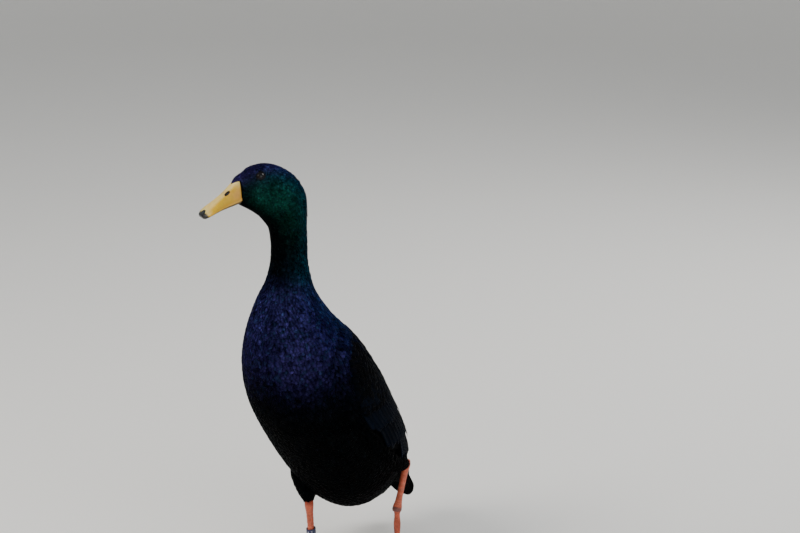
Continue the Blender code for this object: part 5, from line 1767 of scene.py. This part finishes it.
def shank(side, settings, mat):
    """Shank with a row of scutes down its front and small scales round the rest."""
    hock, ankle, _ = leg_line(side)
    length = np.linalg.norm(ankle - hock)
    share, angle = np.meshgrid(np.linspace(0, 1, 130), turns(40), indexing="ij")
    front = smooth((np.sin(angle) - 0.15) / 0.5)
    back = smooth((-np.sin(angle) - 0.2) / 0.5)
    steps = scutes(share * length * 1.17 + 0.9 * np.cos(angle) ** 2, 2.9)
    small = np.sin(share * length * 1.17 * 4.4) * np.sin(angle * 13 + share * 40)
    raised = 0.30 * front * (steps - 0.5) + 0.07 * (1 - front) * small + 0.12 * back * np.sin(share * 160)
    place = tube_place(tarsus_stations(side))
    piece = mesh_piece("shank_" + side, *tube_mesh(place(share, angle, raised)), mat)
    scales, pale, dusky, _ = leg_colours(settings)
    joint = np.exp(-((share - 0.17) / 0.10) ** 2) + 0.35 * np.exp(-((share - 0.98) / 0.10) ** 2)
    # Painted highlight down the front of the shank, brightest on the raised edge of each scute.
    tint = scales + (pale - scales) * (0.55 * front * (0.4 + 0.6 * steps) * (1 - joint))[..., None]
    tint = tint + (dusky - tint) * np.clip(0.75 * joint * (0.6 + 0.4 * np.cos(angle * 3)), 0, 1)[..., None]
    tint = tint * (0.82 + 0.18 * (1 - np.abs(2 * steps - 1)))[..., None]
    paint(piece, np.concatenate([tint.reshape(-1, 3), tint[0, :1], tint[-1, :1]]))
    place_piece(piece, "leg_skin", "tarsus_" + side)


def ankle_tube(side):
    """The short round stem that joins the toes to the shank."""
    hock, ankle, heading = leg_line(side)
    leg = unit(ankle - hock)
    end, wide = tarsus_stations(side)[-2][:2]
    top = end + leg * 0.3
    t = np.linspace(0, 2, 9)
    stem = spline(np.array([top, top + leg * 3.0, top + leg * 6.0]), t)
    sizes = spline(np.array((wide * 0.98, wide * 1.06, wide * 0.85))[:, None], t)[:, 0]
    return round_tube(stem, sizes, heading_way(heading), 20)


def toe_tubes(side, toe):
    """A toe with scutes along its top, and its claw, which curves down to the floor."""
    share = np.linspace(0, 1, 90)
    long = TOE_LENGTHS[toe] * TOE_SHARE
    middle = toe_points(side, toe, long, share)
    knuckle = 1.0 + 0.10 * np.cos(share * math.pi * 6)
    upright = UP if side == "right" else np.array((0.0, -1.0, 0.3))
    ridge = 0.30 * scutes(share * long, 2.6)[:, None] * smooth((np.sin(turns(20)) - 0.1) / 0.5)
    way = unit(middle[-1] - middle[-4])
    t = np.linspace(0, 1, 14)
    reach = middle[-1] + way * 0.2
    claw = reach + way * (CLAW_LENGTH * t)[:, None] * (1.0, 1.0, 0.0)
    claw[:, 2] = reach[2] + (0.9 - reach[2]) * t + 1.3 * np.sin(math.pi * t) * (1 - t)
    return (round_tube(middle, (toe_size(share) * knuckle)[:, None] + ridge, upright, 20),
            round_tube(claw, 1.75 * (1 - t) ** 0.7 + 0.28, UP, 14))


def spur_tubes(side):
    """The short hind toe and its claw."""
    ankle, heading = leg_line(side)[1:]
    ahead = heading_way(heading)
    inward = np.array((ahead[1], -ahead[0], 0.0)) * (1 if side == "left" else -1)
    root = ankle - ahead * 1.0 + inward * 2.0
    way = inward * 2.5 - ahead * 12.0 - UP * (3.5 if side == "right" else 6.0)
    t = np.linspace(0, 1, 16)
    return (round_tube(root + way * (t * 0.82)[:, None], 2.7 - 1.0 * t, UP, 16),
            round_tube(root + way * (0.78 + 0.30 * t)[:, None], 1.5 * (1 - t) ** 0.7 + 0.25, UP, 12))


def web(side, toe):
    """The folded skin between the middle toe and the one beside it."""
    share = np.linspace(0.04, 1, 40)
    a = toe_points(side, toe, TOE_LENGTHS[toe] * WEB_LENGTHS[0], share)
    b = toe_points(side, "middle", TOE_LENGTHS["middle"] * WEB_LENGTHS[1], share)
    across = np.linspace(0, 1, 22)
    grid = a[:, None] * (1 - across)[None, :, None] + b[:, None] * across[None, :, None]
    reach = np.linalg.norm(a - a[0], axis=-1) / np.linalg.norm(a[-1] - a[0])
    back = np.sin(math.pi * across)[None] * 5.0 * smooth(reach)[:, None]
    grid = grid + unit(a[0] - grid) * back[..., None]
    fold = 0.28 * np.sin(across * math.pi * 7)[None] * smooth(reach * 2)[:, None]
    return plate_mesh(grid + UP * (fold + 0.65)[..., None], grid + UP * (fold - 0.6)[..., None])


def foot_tints(side, settings, p):
    """Orange toes with dusky joints, dusky webs, and painted shade under the right foot where it lies on the
    floor.
    """
    near = np.full(len(p), 99.0)
    along = np.zeros(len(p))
    share = np.linspace(0, 1, 60)
    for toe in SPLAY[side]:
        middle = toe_points(side, toe, TOE_LENGTHS[toe] * TOE_SHARE, share)
        gap = np.linalg.norm(p[:, None] - middle[None], axis=-1)
        best = gap.argmin(1)
        gap = gap[np.arange(len(p)), best] - toe_size(share[best])
        along = np.where(gap < near, best / 59 * TOE_LENGTHS[toe], along)
        near = np.minimum(near, gap)
    scales, pale, dusky, skin = leg_colours(settings)
    joint = 0.5 + 0.5 * np.cos(along / TOE_LENGTHS["middle"] * math.pi * 6)
    # Painted shade: the right foot, which lies flat, is darker within 1.2 mm of the floor.
    under = smooth((1.2 - p[:, 2]) / 1.2) * (side == "right")
    tint = mix(scales + (pale - scales) * 0.25, dusky, 0.35 * joint)
    return mix(tint, skin, smooth((near - 0.3) / 2.2)) * (1 - 0.35 * under)[:, None]


def foot(side, settings, claw_colour, mat, horn):
    """Toes and webs fused to one foot, and its claws."""
    tubes = [toe_tubes(side, toe) for toe in SPLAY[side]] + [spur_tubes(side)]
    pieces = [mesh_piece("toe", *tube_mesh(rings), mat)
              for rings in (ankle_tube(side), *(toe for toe, claw in tubes))]
    pieces += [mesh_piece("web", *web(side, toe), mat) for toe in ("inner", "outer")]
    whole = join("webbed_foot_" + side, pieces)
    apply_modifier(whole, "REMESH", mode="VOXEL", voxel_size=FOOT_GRAIN * MM, use_smooth_shade=True)
    apply_modifier(whole, "SMOOTH", factor=0.5, iterations=2)
    paint(whole, foot_tints(side, settings, above_floor(whole, 0.0)))
    place_piece(whole, "leg_skin", "foot_" + side)
    claws = join("claws_" + side, [mesh_piece("claw", *tube_mesh(claw), horn) for toe, claw in tubes])
    above_floor(claws, 0.02)
    paint(claws, tuple(claw_colour))
    place_piece(claws, "dark_horn")


class DUCK_OT_legs(bpy.types.Operator):
    """Scaled shanks and webbed feet with their claws"""

    bl_idname = "duck.legs"
    bl_label = "Legs and feet"

    def execute(self, context):
        settings = context.scene.duck_legs
        skin = scale_material("scaled leg skin")
        horn = bpy.data.materials[NAIL_HORN]
        for side in LEGS:
            shank(side, settings, skin)
            foot(side, settings, context.scene.duck_horn.claw, skin, horn)
        return {"FINISHED"}


RING_INSIDE = tuple(half * 0.97 + 0.5 for half in TARSUS_HALF)
RING_CORNERS = ((0.9, 1), (0.3, 1), (0.3, -1), (0.9, -1))   # out from the leg, up or down
RING_ROUND = 0.3                # radius of the ring's edges
# Plain numbers round the ring: the number and its place in radians.
RING_NUMBERS = (("7", 2.2), ("4", 1.45), ("7", 5.2), ("4", 4.45))


def ring_place(turn, out, up):
    """A point of the leg ring: round the right shank, out from it and along it."""
    hock, ankle, heading = leg_line("right")
    axis = unit(ankle - hock)
    ahead = heading_way(heading)
    ahead = unit(ahead - axis * (ahead @ axis))
    across = np.cross(axis, ahead)
    turn, out, up = np.broadcast_arrays(turn, out, up)
    wide, deep = RING_INSIDE
    return (hock + (ankle - hock) * RING_ALONG + across * ((wide + out) * np.cos(turn))[..., None]
            + ahead * ((deep + out) * np.sin(turn))[..., None] + axis * up[..., None])


def ring_number(number, at, mat):
    """One raised number, bent round the ring."""
    bpy.ops.object.select_all(action="DESELECT")
    bpy.ops.object.text_add()
    text = bpy.context.active_object
    text.data.body = number
    text.data.size = 5.4
    text.data.extrude = 0.05
    text.data.resolution_u = 3
    text.data.align_x = "CENTER"
    bpy.ops.object.convert(target="MESH")
    text = bpy.context.active_object
    bm = bmesh.new()
    bm.from_mesh(text.data)
    bmesh.ops.triangulate(bm, faces=bm.faces)
    bmesh.ops.subdivide_edges(bm, edges=bm.edges, cuts=1)
    bm.to_mesh(text.data)
    bm.free()
    flat = np.array([tuple(v.co) for v in text.data.vertices])
    turn = at + flat[:, 0] / (RING_INSIDE[1] + 1.2)
    set_points(text, ring_place(turn, 1.2 + flat[:, 2], -(flat[:, 1] - 1.9)))
    text.data.materials.append(mat)
    return text


class DUCK_OT_ring(bpy.types.Operator):
    """Moulded leg ring with plain numbers"""

    bl_idname = "duck.ring"
    bl_label = "Leg ring"

    def execute(self, context):
        settings = context.scene.duck_legs
        profile = []
        for corner, (out, way) in enumerate(RING_CORNERS):
            up = way * RING_HEIGHT / 2 - way * RING_ROUND
            for step in range(4):
                a = math.radians(90 * corner + 30 * step)
                profile.append((out + RING_ROUND * math.cos(a), up + RING_ROUND * math.sin(a)))
        profile = np.array(profile)
        turn = np.linspace(0, 2 * math.pi * 0.985, 72)[:, None]
        rings = ring_place(turn, profile[None, :, 0], profile[None, :, 1])
        place_piece(mesh_piece("ring_band", *tube_mesh(rings), ring_material(settings)), "ring", "leg_ring")

        ink = ink_material(settings)
        marks = join("ring_numbers", [ring_number(number, at, ink) for number, at in RING_NUMBERS])
        bpy.ops.object.mode_set(mode="EDIT")
        bpy.ops.mesh.select_all(action="SELECT")
        bpy.ops.mesh.remove_doubles(threshold=1e-6)
        bpy.ops.mesh.normals_make_consistent(inside=False)
        bpy.ops.object.mode_set(mode="OBJECT")
        marks.matrix_world = Matrix.Identity(4)
        place_piece(marks, "ring")
        return {"FINISHED"}


# --- studio -----------------------------------------------------------------------------------------

CAMERA_AT = (1.262, -1.72015, 0.917)
CAMERA_WAY = (-0.5409, 0.8019, -0.2538)
# The floor's rim, in metres: radius and height.
FLOOR_RINGS = ((4.4, 0.0), (4.8, 0.03), (5.15, 0.14), (5.4, 0.34), (5.55, 0.62), (5.6, 1.0), (5.6, 4.0))
FLOOR_SIDES = 96


def aim(obj, place, way):
    """Puts a camera or a light in its place and turns it to look along a way."""
    obj.location = place
    obj.rotation_euler = Vector(way).to_track_quat("-Z", "Y").to_euler()


def area_light(name, place, target, size, power, colour):
    lamp = bpy.data.lights.new(name, "AREA")
    lamp.shape = "RECTANGLE"
    lamp.size, lamp.size_y = size
    lamp.energy = power
    lamp.color = colour
    aim(new_object(name, lamp), place, Vector(target) - Vector(place))


def floor_sheet(mat):
    """A flat disc whose rim rises in a soft curve, as one open sheet that faces up and in."""
    bm = bmesh.new()
    rings = [[bm.verts.new((radius * math.cos(a), radius * math.sin(a), height)) for a in turns(FLOOR_SIDES)]
             for radius, height in FLOOR_RINGS]
    bm.faces.new(rings[0])
    for low, high in zip(rings, rings[1:]):
        for j in range(FLOOR_SIDES):
            k = (j + 1) % FLOOR_SIDES
            bm.faces.new((low[k], low[j], high[j], high[k]))
    mesh = bpy.data.meshes.new("studio_floor")
    bm.to_mesh(mesh)
    bm.free()
    mesh.materials.append(mat)
    mesh.shade_smooth()
    return new_object("studio_floor", mesh)


class DUCK_OT_stage(bpy.types.Operator):
    """Camera, painted floor that curves up into a backdrop, and soft lights"""

    bl_idname = "duck.stage"
    bl_label = "Studio"

    def execute(self, context):
        settings = context.scene.duck_studio
        camera = bpy.data.cameras.new("camera")
        camera.lens = settings.focal
        camera.sensor_width = 36.0
        camera.clip_end = 50.0
        view = new_object("camera", camera)
        aim(view, CAMERA_AT, CAMERA_WAY)
        context.scene.camera = view
        floor_sheet(floor_material(settings))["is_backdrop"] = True
        area_light("key", (-0.9, -1.6, 2.0), (0, -0.05, 0.28), (1.1, 1.1), settings.key, (1.0, 0.97, 0.93))
        area_light("fill", (1.9, -0.7, 1.1), (0, 0, 0.25), (1.6, 1.6), settings.fill, (0.92, 0.96, 1.0))
        area_light("rim", (0.5, 1.7, 1.7), (0, 0, 0.3), (1.2, 0.9), settings.rim, (1.0, 1.0, 1.0))
        world = bpy.data.worlds.new("studio")
        world.use_nodes = True
        backdrop = world.node_tree.nodes["Background"]
        backdrop.inputs["Color"].default_value = (0.80, 0.84, 0.90, 1.0)
        backdrop.inputs["Strength"].default_value = 0.55
        context.scene.world = world
        return {"FINISHED"}


# --- panel and run ----------------------------------------------------------------------------------

GROUPS = (("duck_plumage", PlumageSettings), ("duck_horn", HornSettings), ("duck_legs", LegSettings),
          ("duck_eyes", EyeSettings), ("duck_studio", StudioSettings))
STEPS = (DUCK_OT_stage, DUCK_OT_skin, DUCK_OT_coat, DUCK_OT_wings, DUCK_OT_tail, DUCK_OT_eyes, DUCK_OT_bill,
         DUCK_OT_legs, DUCK_OT_ring)


class DUCK_PT_panel(bpy.types.Panel):
    """Lists the duck's settings and the steps that build it"""

    bl_idname = "DUCK_PT_panel"
    bl_label = "Indian Runner Duck"
    bl_space_type = "VIEW_3D"
    bl_region_type = "UI"
    bl_category = "Duck"

    def draw(self, context):
        for name, group in GROUPS:
            box = self.layout.box()
            for key in group.__annotations__:
                box.prop(getattr(context.scene, name), key)
        for step in STEPS:
            self.layout.operator(step.bl_idname)


CLASSES = tuple(group for _, group in GROUPS) + STEPS + (DUCK_PT_panel,)


def register():
    for cls in CLASSES:
        bpy.utils.register_class(cls)
    for name, group in GROUPS:
        setattr(bpy.types.Scene, name, bpy.props.PointerProperty(type=group))


def unregister():
    for name, _ in GROUPS:
        delattr(bpy.types.Scene, name)
    for cls in reversed(CLASSES):
        bpy.utils.unregister_class(cls)


def main():
    register()
    for step in STEPS:
        area, word = step.bl_idname.split(".")
        getattr(getattr(bpy.ops, area), word)()
    boxes = {"cad": CAD_BOX, "visual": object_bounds()}
    {key: [[float(c) for c in corner] for corner in box] for key, box in boxes.items()}


if __name__ == "__main__":
    main()
